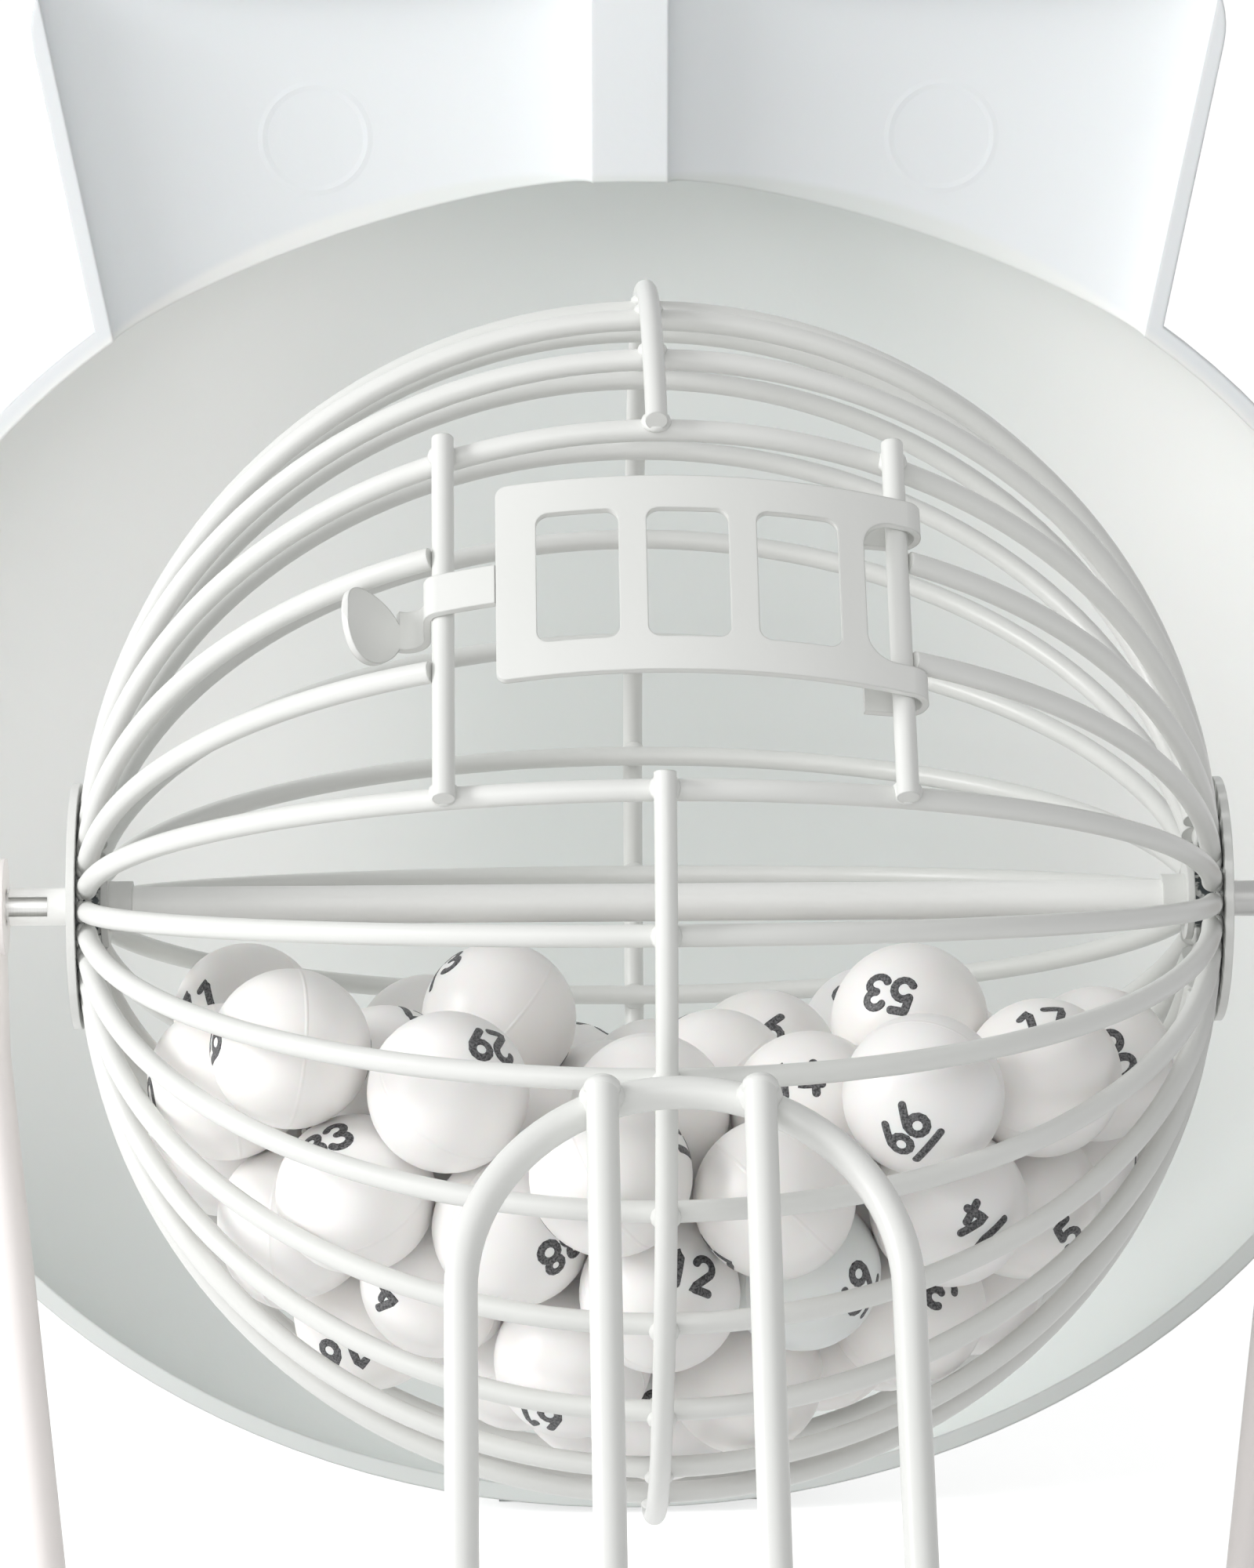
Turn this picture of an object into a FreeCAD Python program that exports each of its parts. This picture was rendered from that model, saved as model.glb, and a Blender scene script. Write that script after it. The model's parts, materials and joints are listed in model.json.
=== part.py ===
import FreeCAD, Part
import math
import os
import random
import Sketcher

os.makedirs("parts", exist_ok=True)

# Raffle drum: a round wire cage on an axle, turned by a crank in a wire stand,
# with a hinged door, numbered balls inside, a ball slide in front and a ball tray behind.
# Millimetres and degrees. +X to the crank, -Y to the player, +Z up.
# The origin is on the ground, in the middle of the whole set.

SIZES = (
    # place of the axle's middle point
    ("axle_x", -3.65),
    ("axle_y", 33.55),
    ("axle_height", 132.0),
    # cage wires
    ("cage_radius", 85.0),
    ("cage_wire_d", 3.0),
    ("wire_count", 28.0),
    ("wire_end_radius", 14.0),
    ("weld_bite", 0.05),
    ("hoop_lap", 1.8),
    # door frame
    ("door_angle", 44.2),
    ("door_pitches", 3.0),
    ("latch_bar_x", 28.8),
    ("hinge_bar_x", 32.0),
    ("bar_poke", 1.8),
    ("hinge_wire_lift", 1.2),
    # hubs and axle
    ("hub_face_x", 81.5),
    ("hub_disc_d", 35.4),
    ("hub_disc_t", 1.2),
    ("collar_boss_d", 8.4),
    ("collar_boss_length", 2.9),
    ("collar_flange_d", 11.8),
    ("collar_flange_t", 1.0),
    ("collar_sleeve_d", 7.2),
    ("collar_sleeve_length", 3.4),
    ("axle_tube_d", 5.5),
    ("axle_bore_d", 4.1),
    ("axle_slot_width", 2.7),
    ("axle_slot_length", 5.6),
    ("axle_slot_angle", 15.0),
    ("running_gap", 0.05),
    ("end_gap", 0.4),
    # door leaf
    ("leaf_t", 1.0),
    ("leaf_gap", 0.12),
    ("leaf_bend_radius", 85.0),
    ("leaf_height", 30.2),
    ("leaf_rise", 1.9),
    ("leaf_left_x", 21.8),
    ("leaf_corner_radius", 1.6),
    ("window_width", 10.9),
    ("window_height", 20.0),
    ("window_pitch", 14.65),
    ("window_first_x", 10.95),
    ("window_corner_radius", 1.7),
    ("yoke_open_x", 27.3),
    ("yoke_corner_radius", 4.0),
    ("strap_width", 4.2),
    ("knuckle_radius", 2.6),
    ("knuckle_past", 0.5),
    ("knuckle_turn", 166.0),
    ("tail_length", 5.0),
    ("tongue_width", 5.9),
    ("tongue_drop", 4.5),
    ("tongue_bend_radius", 2.8),
    ("tongue_turn", 115.0),
    ("thumb_tab_d", 10.8),
    ("thumb_tab_radius", 13.0),
    ("thumb_tab_drop", 1.2),
    # stand
    ("post_face_x", 92.4),
    ("post_d", 5.5),
    ("post_foot_x", 87.5),
    ("eye_d", 14.0),
    ("eye_t", 3.2),
    ("neck_width", 9.0),
    ("neck_top", 5.0),
    ("neck_length", 17.0),
    ("base_wire_d", 5.5),
    ("base_front_reach", 13.9),
    ("base_rear_length", 52.0),
    ("base_corner_radius", 24.0),
    ("foot_lift", 2.0),
    ("foot_d", 10.5),
    ("foot_length", 15.0),
    ("foot_inset_length", 36.0),
    # bearings
    ("pin_d", 4.0),
    ("pin_reach", 20.0),
    ("pin_head_d", 9.0),
    ("pin_head_t", 2.2),
    ("bush_d", 7.4),
    ("bush_flange_d", 11.0),
    ("bush_flange_t", 0.9),
    # crank
    ("shaft_d", 5.1),
    ("spigot_length", 25.0),
    ("crank_length", 46.0),
    ("crank_width", 12.0),
    ("crank_t", 3.0),
    ("crank_gap", 0.6),
    ("nut_d", 9.0),
    ("nut_t", 4.0),
    ("spindle_d", 5.0),
    ("spindle_head_d", 8.6),
    ("spindle_head_t", 2.0),
    ("grip_length", 34.0),
    ("grip_root_d", 10.5),
    ("grip_belly_d", 16.0),
    ("grip_end_d", 12.5),
    # ball slide
    ("slide_top_y", 97.0),
    ("slide_top_z", 0.7),
    ("slide_slope", 45.0),
    ("slide_x", 1.4),
    ("slide_half_width", 28.3),
    ("slide_wire_d", 4.3),
    ("rail_wire_d", 4.2),
    ("rail_x", 10.1),
    ("rail_poke", 1.0),
    ("slide_bend_radius", 30.0),
    ("rack_length", 36.0),
    ("lip_length", 24.0),
    ("lip_angle", 60.0),
    ("lip_bend_radius", 9.0),
    ("lip_corner_radius", 12.0),
    # ball tray
    ("tray_rim_y", 100.0),
    ("tray_lift", 1.0),
    ("tray_half_width", 131.0),
    ("tray_half_height", 112.0),
    ("tray_depth", 26.0),
    ("tray_floor_share", 0.62),
    ("tray_wall", 3.0),
    ("trough_half_width", 96.0),
    ("trough_foot_half_width", 68.0),
    ("trough_rise", 147.0),
    ("trough_depth", 10.0),
    ("trough_corner_radius", 14.0),
    ("lane_wall", 3.0),
    ("lane_gap", 12.0),
    ("tray_foot_width", 44.0),
    ("tray_foot_t", 6.0),
    ("boss_x", 49.5),
    ("boss_rise", 116.5),
    ("boss_d", 15.6),
    ("easel_wire_d", 4.0),
    ("easel_gap", 0.6),
    ("easel_lean", 17.0),
    ("easel_corner_radius", 10.0),
    # balls
    ("ball_d", 22.0),
    ("ball_count", 75.0),
    ("ball_gap", 0.3),
    ("pile_tilt", 18.0),
    ("pile_seed", 300.0),
)

doc = FreeCAD.newDocument("raffle_drum")
sheet = doc.addObject("Spreadsheet::Sheet", "Sizes")
for row, (alias, number) in enumerate(SIZES, start=1):
    sheet.set(f"A{row}", alias)
    sheet.set(f"B{row}", str(number))
    sheet.setAlias(f"B{row}", alias)
doc.recompute()

nodes = []


def size(alias):
    """The number in one cell of the sheet."""
    return float(sheet.get(alias))


def bind(item, **formulas):
    """Tie properties of an object to formulas over the sheet."""
    for name, formula in formulas.items():
        item.setExpression(name, formula)
    return item


def node(item, label):
    """Mark an object as one sub-part of the set."""
    item.Label = label
    nodes.append(item)
    return item


def shift(x="0", y="0", z="0"):
    """Formula of a move."""
    return f"placement(vector({x}; {y}; {z}); rotation(vector(0; 0; 1); 0 deg))"


def turn(axis, angle):
    """Formula of a turn about one axis."""
    direction = {"x": "1; 0; 0", "y": "0; 1; 0", "z": "0; 0; 1"}[axis]
    return f"placement(vector(0; 0; 0); rotation(vector({direction}); {angle}))"


def chain(*moves):
    """Formula of moves made one after another."""
    return " * ".join(moves)


AXLE = shift("Sizes.axle_x", "Sizes.axle_y", "Sizes.axle_height")
DOOR = chain(AXLE, turn("x", "-Sizes.door_angle * 1 deg"))

# A cage wire is an arc whose middle lies a little off the axle, so that it leaves the
# equator at the cage radius and lies flat against the hub disc at its ends.
WIRE_END_X = "(Sizes.hub_face_x - Sizes.cage_wire_d / 2)"
ARC_OFFSET = (
    f"((Sizes.cage_radius ^ 2 - {WIRE_END_X} ^ 2 - Sizes.wire_end_radius ^ 2)"
    " / (2 * (Sizes.cage_radius - Sizes.wire_end_radius)))"
)
ARC_RADIUS = f"(Sizes.cage_radius - {ARC_OFFSET})"
ARC_START = f"atan((Sizes.wire_end_radius - {ARC_OFFSET}) / {WIRE_END_X})"
DOOR_HALF = "(Sizes.door_pitches * 180 deg / Sizes.wire_count)"
HOOP_RADIUS = "(Sizes.cage_radius + Sizes.cage_wire_d - Sizes.weld_bite)"


def wire_radius_at(x):
    """Formula of a cage wire's distance from the axle, x from the middle."""
    return f"({ARC_OFFSET} + sqrt({ARC_RADIUS} ^ 2 - {x} ^ 2))"


def bar_out(x):
    """Formula of a door bar's distance from the axle: it lies on both door wires."""
    slope = f"({x} ^ 2 / ({ARC_RADIUS} ^ 2 - {x} ^ 2))"
    return (
        f"({wire_radius_at(x)} * cos({DOOR_HALF})"
        f" + (Sizes.cage_wire_d - Sizes.weld_bite) * sqrt(1 + {slope} * cos({DOOR_HALF}) ^ 2))"
    )


# ---------------------------------------------------------------- cage wires


def cage_wire(label, elevation, first, sweep):
    """One round wire along an arc from first to first + sweep, in the plane at elevation."""
    wire = doc.addObject("Part::Torus", label)
    bind(
        wire,
        Radius1=ARC_RADIUS,
        Radius2="Sizes.cage_wire_d / 2",
        Angle3=sweep,
        Placement=chain(
            AXLE,
            turn("x", f"180 deg - ({elevation})"),
            shift(y=ARC_OFFSET),
            turn("z", first),
        ),
    )
    return node(wire, label)


def short_wire_stop(bar_x):
    """Formula of the angle at which a short wire meets the side of the bar at x."""
    height = (
        f"({bar_out(bar_x)} / cos({DOOR_HALF} - 360 deg / Sizes.wire_count) - {ARC_OFFSET})"
    )
    reach = f"sqrt({bar_x} ^ 2 + {height} ^ 2)"
    return (
        f"(atan({height} / {bar_x})"
        f" - asin((Sizes.cage_wire_d / 2 - Sizes.weld_bite) / {reach}))"
    )


full_wires = 0
for index in range(int(size("wire_count"))):
    elevation = (
        "Sizes.door_angle * 1 deg"
        f" + ({index} - Sizes.door_pitches / 2) * 360 deg / Sizes.wire_count"
    )
    if 0 < index < size("door_pitches"):
        for side, bar in (("right", "Sizes.hinge_bar_x"), ("left", "Sizes.latch_bar_x")):
            stop = short_wire_stop(bar)
            start = ARC_START if side == "right" else f"180 deg - {stop}"
            # The lower right wire sits a little higher, clear of the knuckle below it.
            lift = " + Sizes.hinge_wire_lift * 1 deg" if (side, index) == ("right", 1) else ""
            cage_wire(
                f"short_wire_{side}_{index}", elevation + lift, start, f"{stop} - {ARC_START}"
            )
    else:
        full_wires += 1
        cage_wire(f"cage_wire_{full_wires:02d}", elevation, ARC_START, f"180 deg - 2 * {ARC_START}")

# The hoop runs round the outside of the cage and stops at the two door wires.
hoop_start = f"({DOOR_HALF} - asin(Sizes.hoop_lap / {HOOP_RADIUS}))"
hoop = doc.addObject("Part::Torus", "cage_hoop")
bind(
    hoop,
    Radius1=HOOP_RADIUS,
    Radius2="Sizes.cage_wire_d / 2",
    Angle3=f"360 deg - 2 * {hoop_start}",
    Placement=chain(DOOR, turn("y", "90 deg"), turn("z", f"{hoop_start} - 90 deg")),
)
node(hoop, "cage_hoop")


def door_bar(label, side, x):
    """A straight bar across the two door wires."""
    bar = doc.addObject("Part::Cylinder", label)
    half = f"({wire_radius_at(x)} * sin({DOOR_HALF}) + Sizes.bar_poke)"
    bind(
        bar,
        Radius="Sizes.cage_wire_d / 2",
        Height=f"2 * {half}",
        Placement=chain(DOOR, shift(f"{side} * {x}", f"-{bar_out(x)}", f"-{half}")),
    )
    return node(bar, label)


door_bar("latch_bar", -1, "Sizes.latch_bar_x")
door_bar("hinge_bar", 1, "Sizes.hinge_bar_x")

# ---------------------------------------------------------------- hubs and axle


def plane(body, role):
    """One of a body's own origin planes."""
    return [item for item in body.Origin.OriginFeatures if item.Role == role][0]


def sketch_on(body, name, role):
    """A sketch on one of the body's origin planes."""
    sketch = body.newObject("Sketcher::SketchObject", name)
    sketch.AttachmentSupport = [(plane(body, role), "")]
    sketch.MapMode = "FlatFace"
    return sketch


def ring_in(sketch, radius, x=0.0, z=0.0):
    """A circle with its radius tied to a formula."""
    circle = sketch.addGeometry(Part.Circle(FreeCAD.Vector(x, z, 0), FreeCAD.Vector(0, 0, 1), 1))
    rule = sketch.addConstraint(Sketcher.Constraint("Radius", circle, 1.0))
    sketch.setExpression(f"Constraints[{rule}]", radius)
    return circle


def hub_disc(label, side):
    """The thin disc that the cage wires end on."""
    body = doc.addObject("PartDesign::Body", label)
    rim = sketch_on(body, f"{label}_rim", "XY_Plane")
    ring_in(rim, "Sizes.hub_disc_d / 2")
    ring_in(rim, "Sizes.axle_tube_d / 2")
    pad = body.newObject("PartDesign::Pad", f"{label}_pad")
    pad.Profile = rim
    bind(pad, Length="Sizes.hub_disc_t")
    bind(body, Placement=chain(AXLE, shift(f"{side} * Sizes.hub_face_x"), turn("y", f"{side * 90} deg")))
    return node(body, label)


def round_bar(name, radius, length, place):
    """A plain cylinder along the local Z axis."""
    bar = doc.addObject("Part::Cylinder", name)
    bind(bar, Radius=radius, Height=length, Placement=place)
    return bar


def joined(name, pieces):
    """Several shapes fused into one solid."""
    fuse = doc.addObject("Part::MultiFuse", name)
    fuse.Shapes = pieces
    fuse.Refine = True
    return fuse


def cut(name, base, tool):
    """A shape with another cut out of it."""
    result = doc.addObject("Part::Cut", name)
    result.Base = base
    result.Tool = tool
    result.Refine = True
    return result


def hub_collar(label, side):
    """The flanged collar inside a hub disc: boss, washer and sleeve on the axle tube."""
    face = chain(AXLE, shift(f"{side} * Sizes.hub_face_x"), turn("y", f"{-side * 90} deg"))
    boss = round_bar(f"{label}_boss", "Sizes.collar_boss_d / 2", "Sizes.collar_boss_length", face)
    flange = round_bar(
        f"{label}_flange",
        "Sizes.collar_flange_d / 2",
        "Sizes.collar_flange_t",
        chain(face, shift(z="Sizes.collar_boss_length")),
    )
    full = "(Sizes.collar_boss_length + Sizes.collar_flange_t + Sizes.collar_sleeve_length)"
    sleeve = round_bar(f"{label}_sleeve", "Sizes.collar_sleeve_d / 2", full, face)
    bore = round_bar(
        f"{label}_bore", "Sizes.axle_tube_d / 2", f"{full} + 2", chain(face, shift(z="-1"))
    )
    return node(cut(label, joined(f"{label}_turned", [boss, flange, sleeve]), bore), label)


for name, side in (("left", -1), ("right", 1)):
    hub_disc(f"hub_disc_{name}", side)
    hub_collar(f"hub_collar_{name}", side)

# The axle tube runs through both hubs. Its left end is slotted and turns on the pivot pin.
TUBE_LEFT = "(Sizes.post_face_x - Sizes.end_gap)"
HUB_OUTER_X = "(Sizes.hub_face_x + Sizes.hub_disc_t)"
tube_length = f"({TUBE_LEFT} + {HUB_OUTER_X})"
tube_place = chain(AXLE, shift(f"-{TUBE_LEFT}"), turn("y", "90 deg"))
tube_body = round_bar("axle_tube_body", "Sizes.axle_tube_d / 2", tube_length, tube_place)
tube_bore = round_bar(
    "axle_tube_bore",
    "Sizes.axle_bore_d / 2",
    f"{tube_length} + 2",
    chain(AXLE, shift(f"-{TUBE_LEFT} - 1"), turn("y", "90 deg")),
)
tube_slot = doc.addObject("Part::Box", "axle_tube_slot")
bind(
    tube_slot,
    Length="Sizes.axle_slot_length + 1",
    Width="Sizes.axle_tube_d",
    Height="Sizes.axle_slot_width",
    Placement=chain(
        AXLE,
        turn("x", "-Sizes.axle_slot_angle * 1 deg"),
        shift(f"-{TUBE_LEFT} - 1", "-Sizes.axle_tube_d", "-Sizes.axle_slot_width / 2"),
    ),
)
node(cut("axle_tube", tube_body, joined("axle_tube_openings", [tube_bore, tube_slot])), "axle_tube")

# ---------------------------------------------------------------- door leaf


def walk(start, heading, moves, thickness):
    """A strip of sheet that follows straight runs and bends, as a face in the local XY plane.

    A move is (length, 0) for a run, or (middle radius, turn in degrees) for a bend, where
    a positive turn goes to the left.
    """
    half = thickness / 2
    left, right = [], []
    point, angle = FreeCAD.Vector(*start, 0), math.radians(heading)

    def side(at, direction, offset):
        return at + FreeCAD.Vector(-math.sin(direction), math.cos(direction), 0) * offset

    for first, bend in moves:
        begin, begin_angle = point, angle
        if bend == 0:
            point = point + FreeCAD.Vector(math.cos(angle), math.sin(angle), 0) * first
            for edges, offset in ((left, half), (right, -half)):
                edges.append(Part.LineSegment(side(begin, angle, offset), side(point, angle, offset)))
            continue
        spin = math.radians(bend)
        lean = math.copysign(first, bend)
        middle = side(begin, begin_angle, lean)
        angle = begin_angle + spin
        half_angle = begin_angle + spin / 2
        point = side(middle, angle, -lean)
        for edges, offset in ((left, half), (right, -half)):
            edges.append(
                Part.Arc(
                    side(side(middle, begin_angle, -lean), begin_angle, offset),
                    side(side(middle, half_angle, -lean), half_angle, offset),
                    side(side(middle, angle, -lean), angle, offset),
                )
            )
    ends = [
        Part.LineSegment(left[-1].EndPoint, right[-1].EndPoint),
        Part.LineSegment(right[0].StartPoint, left[0].StartPoint),
    ]
    edges = [edge.toShape() for edge in left + right + ends]
    return Part.Face(Part.Wire(Part.__sortEdges__(edges))), point, math.degrees(angle)


def strip(name, profile, width, low):
    """A strip profile made as wide as a formula says, from low upwards, in the door's frame.

    The profile's X is the door's X, and its Y points out of the drum.
    """
    face = doc.addObject("Part::Feature", f"{name}_profile")
    face.Shape = profile
    sheet_metal = doc.addObject("Part::Extrusion", name)
    sheet_metal.Base = face
    sheet_metal.DirMode = "Custom"
    sheet_metal.Dir = FreeCAD.Vector(0, 0, 1)
    sheet_metal.Solid = True
    bind(
        sheet_metal,
        LengthFwd=width,
        Placement=shift(z=low),
    )
    return sheet_metal


def rounded_block(name, corners, radius, depth_from, depth):
    """A cutter with a rounded outline in the door's X and Z, which runs along its Y."""
    x_low, z_low, x_high, z_high = corners
    box = Part.makeBox(x_high - x_low, depth, z_high - z_low, FreeCAD.Vector(x_low, depth_from, z_low))
    upright = [
        edge
        for edge in box.Edges
        if abs(edge.Vertexes[0].Y - edge.Vertexes[1].Y) > depth / 2
    ]
    cutter = doc.addObject("Part::Feature", name)
    cutter.Shape = box.makeFillet(radius, upright)
    return cutter


leaf_t = size("leaf_t")
wrap_radius = size("cage_wire_d") / 2 + size("leaf_gap") + leaf_t / 2
latch = FreeCAD.Vector(-size("latch_bar_x"), sheet.evalExpression(bar_out("Sizes.latch_bar_x")), 0)
hinge = FreeCAD.Vector(size("hinge_bar_x"), sheet.evalExpression(bar_out("Sizes.hinge_bar_x")), 0)
leaf_radius = size("leaf_bend_radius")

# The leaf bows over both bars: its middle is as far from each bar as the wrap allows.
span = hinge - latch
sink = math.sqrt((leaf_radius - wrap_radius) ** 2 - (span.Length / 2) ** 2)
across = FreeCAD.Vector(span.y, -span.x, 0).normalize()
leaf_middle = (latch + hinge) * 0.5 + across * sink


def leaf_angle(point):
    """Direction from the leaf's middle to a point, in degrees from the local X axis."""
    return math.degrees(math.atan2(point.y - leaf_middle.y, point.x - leaf_middle.x))


def leaf_point(angle):
    """A point of the leaf's middle surface."""
    turned = math.radians(angle)
    return leaf_middle + FreeCAD.Vector(math.cos(turned), math.sin(turned), 0) * leaf_radius


latch_angle = leaf_angle(latch)
curl_angle = leaf_angle(hinge) - math.degrees(size("knuckle_past") / leaf_radius)
edge_x = -size("leaf_left_x")
edge_angle = math.degrees(math.acos((edge_x - leaf_middle.x) / leaf_radius))

edge_point = leaf_point(edge_angle)
curl_point = leaf_point(curl_angle)
plate_face, _, _ = walk(
    (edge_point.x, edge_point.y), edge_angle - 90, [(leaf_radius, curl_angle - edge_angle)], leaf_t
)
strap_face, _, _ = walk(
    (curl_point.x, curl_point.y),
    curl_angle - 90,
    [(size("knuckle_radius"), -size("knuckle_turn")), (size("tail_length"), 0)],
    leaf_t,
)
tongue_moves = [
    (leaf_radius, latch_angle - edge_angle),
    (wrap_radius, 180 - latch_angle),
    (size("tongue_drop"), 0),
    (size("tongue_bend_radius"), -size("tongue_turn")),
]
tongue_face, tab_start, tab_heading = walk(
    (edge_point.x, edge_point.y), edge_angle + 90, tongue_moves, leaf_t
)
tab_bend = math.degrees(size("thumb_tab_d") / size("thumb_tab_radius"))
tab_face, tab_end, _ = walk(
    (tab_start.x, tab_start.y), tab_heading, [(size("thumb_tab_radius"), -tab_bend)], leaf_t
)

leaf_low = "(Sizes.leaf_rise - Sizes.leaf_height / 2)"
plate = strip("leaf_plate", plate_face, "Sizes.leaf_height", leaf_low)
upper_strap = strip(
    "leaf_upper_strap",
    strap_face,
    "Sizes.strap_width",
    "Sizes.leaf_rise + Sizes.leaf_height / 2 - Sizes.strap_width",
)
lower_strap = strip("leaf_lower_strap", strap_face, "Sizes.strap_width", leaf_low)
tongue = strip(
    "leaf_tongue", tongue_face, "Sizes.tongue_width", "Sizes.leaf_rise - Sizes.tongue_width / 2"
)
tab_sheet = strip(
    "leaf_tab_sheet",
    tab_face,
    "Sizes.thumb_tab_d",
    "Sizes.leaf_rise - Sizes.thumb_tab_drop - Sizes.thumb_tab_d / 2",
)

# The thumb tab is round: an upright oval cylinder trims its sheet, seen square on.
tab_half = (tab_start - tab_end).Length / 2
tab_turn = math.degrees(math.atan2(tab_end.y - tab_start.y, tab_end.x - tab_start.x))
tab_blank = Part.makeCylinder(size("thumb_tab_d") / 2, 4 * size("thumb_tab_radius"))
tab_blank.translate(FreeCAD.Vector(0, 0, -2 * size("thumb_tab_radius")))
tab_blank.rotate(FreeCAD.Vector(), FreeCAD.Vector(1, 0, 0), 90)
tab_blank.rotate(FreeCAD.Vector(), FreeCAD.Vector(0, 0, 1), tab_turn)
tab_level = size("leaf_rise") - size("thumb_tab_drop")
tab_blank.translate((tab_start + tab_end) * 0.5 + FreeCAD.Vector(0, 0, tab_level))
tab_outline = doc.addObject("Part::Feature", "leaf_tab_outline")
tab_outline.Shape = tab_blank
tab = doc.addObject("Part::Common", "leaf_tab")
tab.Base = tab_sheet
tab.Tool = tab_outline

cut_from = min(latch.y, hinge.y) - leaf_radius / 4
cut_depth = leaf_radius / 2
window_low = size("leaf_rise") - size("window_height") / 2
window_high = size("leaf_rise") + size("window_height") / 2
cutters = []
for number in range(3):
    middle_x = number * size("window_pitch") - size("window_first_x")
    cutters.append(
        rounded_block(
            f"leaf_window_{number + 1}",
            (
                middle_x - size("window_width") / 2,
                window_low,
                middle_x + size("window_width") / 2,
                window_high,
            ),
            size("window_corner_radius"),
            cut_from,
            cut_depth,
        )
    )
yoke_low = size("leaf_rise") - size("leaf_height") / 2 + size("strap_width")
yoke_high = size("leaf_rise") + size("leaf_height") / 2 - size("strap_width")
cutters.append(
    rounded_block(
        "leaf_yoke_opening",
        (size("yoke_open_x"), yoke_low, size("hinge_bar_x") + 4 * size("yoke_corner_radius"), yoke_high),
        size("yoke_corner_radius"),
        cut_from,
        cut_depth,
    )
)
leaf_outline = rounded_block(
    "leaf_outline",
    (
        edge_x,
        size("leaf_rise") - size("leaf_height") / 2,
        size("hinge_bar_x") + 4 * size("yoke_corner_radius"),
        size("leaf_rise") + size("leaf_height") / 2,
    ),
    size("leaf_corner_radius"),
    cut_from,
    cut_depth,
)
plate_trimmed = doc.addObject("Part::Common", "leaf_plate_trimmed")
plate_trimmed.Base = plate
plate_trimmed.Tool = leaf_outline
plate_cut = cut("leaf_plate_cut", plate_trimmed, joined("leaf_openings", cutters))
door_metal = joined("leaf_metal", [plate_cut, upper_strap, lower_strap, tongue, tab])
doc.recompute()

# The local Y of the profiles points out of the drum, which is -Y in the door's frame.
door_leaf = doc.addObject("Part::Mirroring", "door_leaf")
door_leaf.Source = door_metal
door_leaf.Normal = FreeCAD.Vector(0, 1, 0)
bind(door_leaf, Placement=DOOR)
node(door_leaf, "door_leaf")

# ---------------------------------------------------------------- wire forms


def bent_wire(points, radii, diameter, closed=False):
    """A round wire swept along straight runs that tangent bends join.

    radii holds one bend radius for each point, and 0 at the two ends of an open wire.
    """
    count = len(points)
    entries, exits, bends = [], [], []
    for index, point in enumerate(points):
        radius = radii[index]
        if radius == 0:
            entries.append(point)
            exits.append(point)
            bends.append(None)
            continue
        before = (points[index - 1] - point).normalize()
        after = (points[(index + 1) % count] - point).normalize()
        inward = (before + after).normalize()
        half_opening = before.getAngle(after) / 2
        entries.append(point + before * (radius / math.tan(half_opening)))
        exits.append(point + after * (radius / math.tan(half_opening)))
        bends.append(point + inward * (radius / math.sin(half_opening) - radius))
    edges = []
    for index in range(count):
        if bends[index]:
            edges.append(Part.Arc(entries[index], bends[index], exits[index]).toShape())
        following = entries[(index + 1) % count]
        if (closed or index < count - 1) and (following - exits[index]).Length > diameter / 1000:
            edges.append(Part.makeLine(exits[index], following))
    heading = edges[0].tangentAt(edges[0].FirstParameter)
    section = Part.makeCircle(diameter / 2, edges[0].Vertexes[0].Point, heading)
    return Part.Wire(edges).makePipeShell([Part.Wire(section)], True, False)


def wire_node(label, shape, place):
    """A bent wire as a sub-part: its shape is set first, and then its place."""
    item = doc.addObject("Part::Feature", label)
    item.Shape = shape
    bind(item, Placement=place)
    return node(item, label)


# The slide runs down to the base and on over its front wire.
RACK_LEVEL = (
    "(Sizes.foot_lift + Sizes.base_wire_d + Sizes.slide_wire_d / 2"
    " - Sizes.weld_bite - Sizes.axle_height)"
)
SLIDE_FOOT = (
    f"(Sizes.slide_top_y + (Sizes.slide_top_z - {RACK_LEVEL}) / tan(Sizes.slide_slope * 1 deg))"
)
BASE_FRONT = f"({SLIDE_FOOT} + Sizes.base_front_reach)"

# The base is one closed loop of wire that lies in the rubber feet.
wire_level = size("foot_lift") + size("base_wire_d") / 2 - size("axle_height")
base_x = size("post_foot_x")
base_front = sheet.evalExpression(BASE_FRONT)
base_points = [
    FreeCAD.Vector(side * base_x, y, wire_level)
    for side, y in (
        (-1, -base_front),
        (1, -base_front),
        (1, size("base_rear_length")),
        (-1, size("base_rear_length")),
    )
]
base_shape = bent_wire(
    base_points, [size("base_corner_radius")] * 4, size("base_wire_d"), closed=True
)
wire_node("base_loop", base_shape, AXLE)

# Each post is a wire whose top is pressed flat into an eye for the axle.
EYE_X = "(Sizes.post_face_x + Sizes.eye_t / 2)"
POST_TOP_X = "(Sizes.post_face_x + Sizes.post_d / 2)"
POST_FOOT_Z = "(Sizes.foot_lift + Sizes.base_wire_d - Sizes.weld_bite - Sizes.axle_height)"
NECK_LOW_Z = "(Sizes.neck_top + Sizes.neck_length)"


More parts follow.
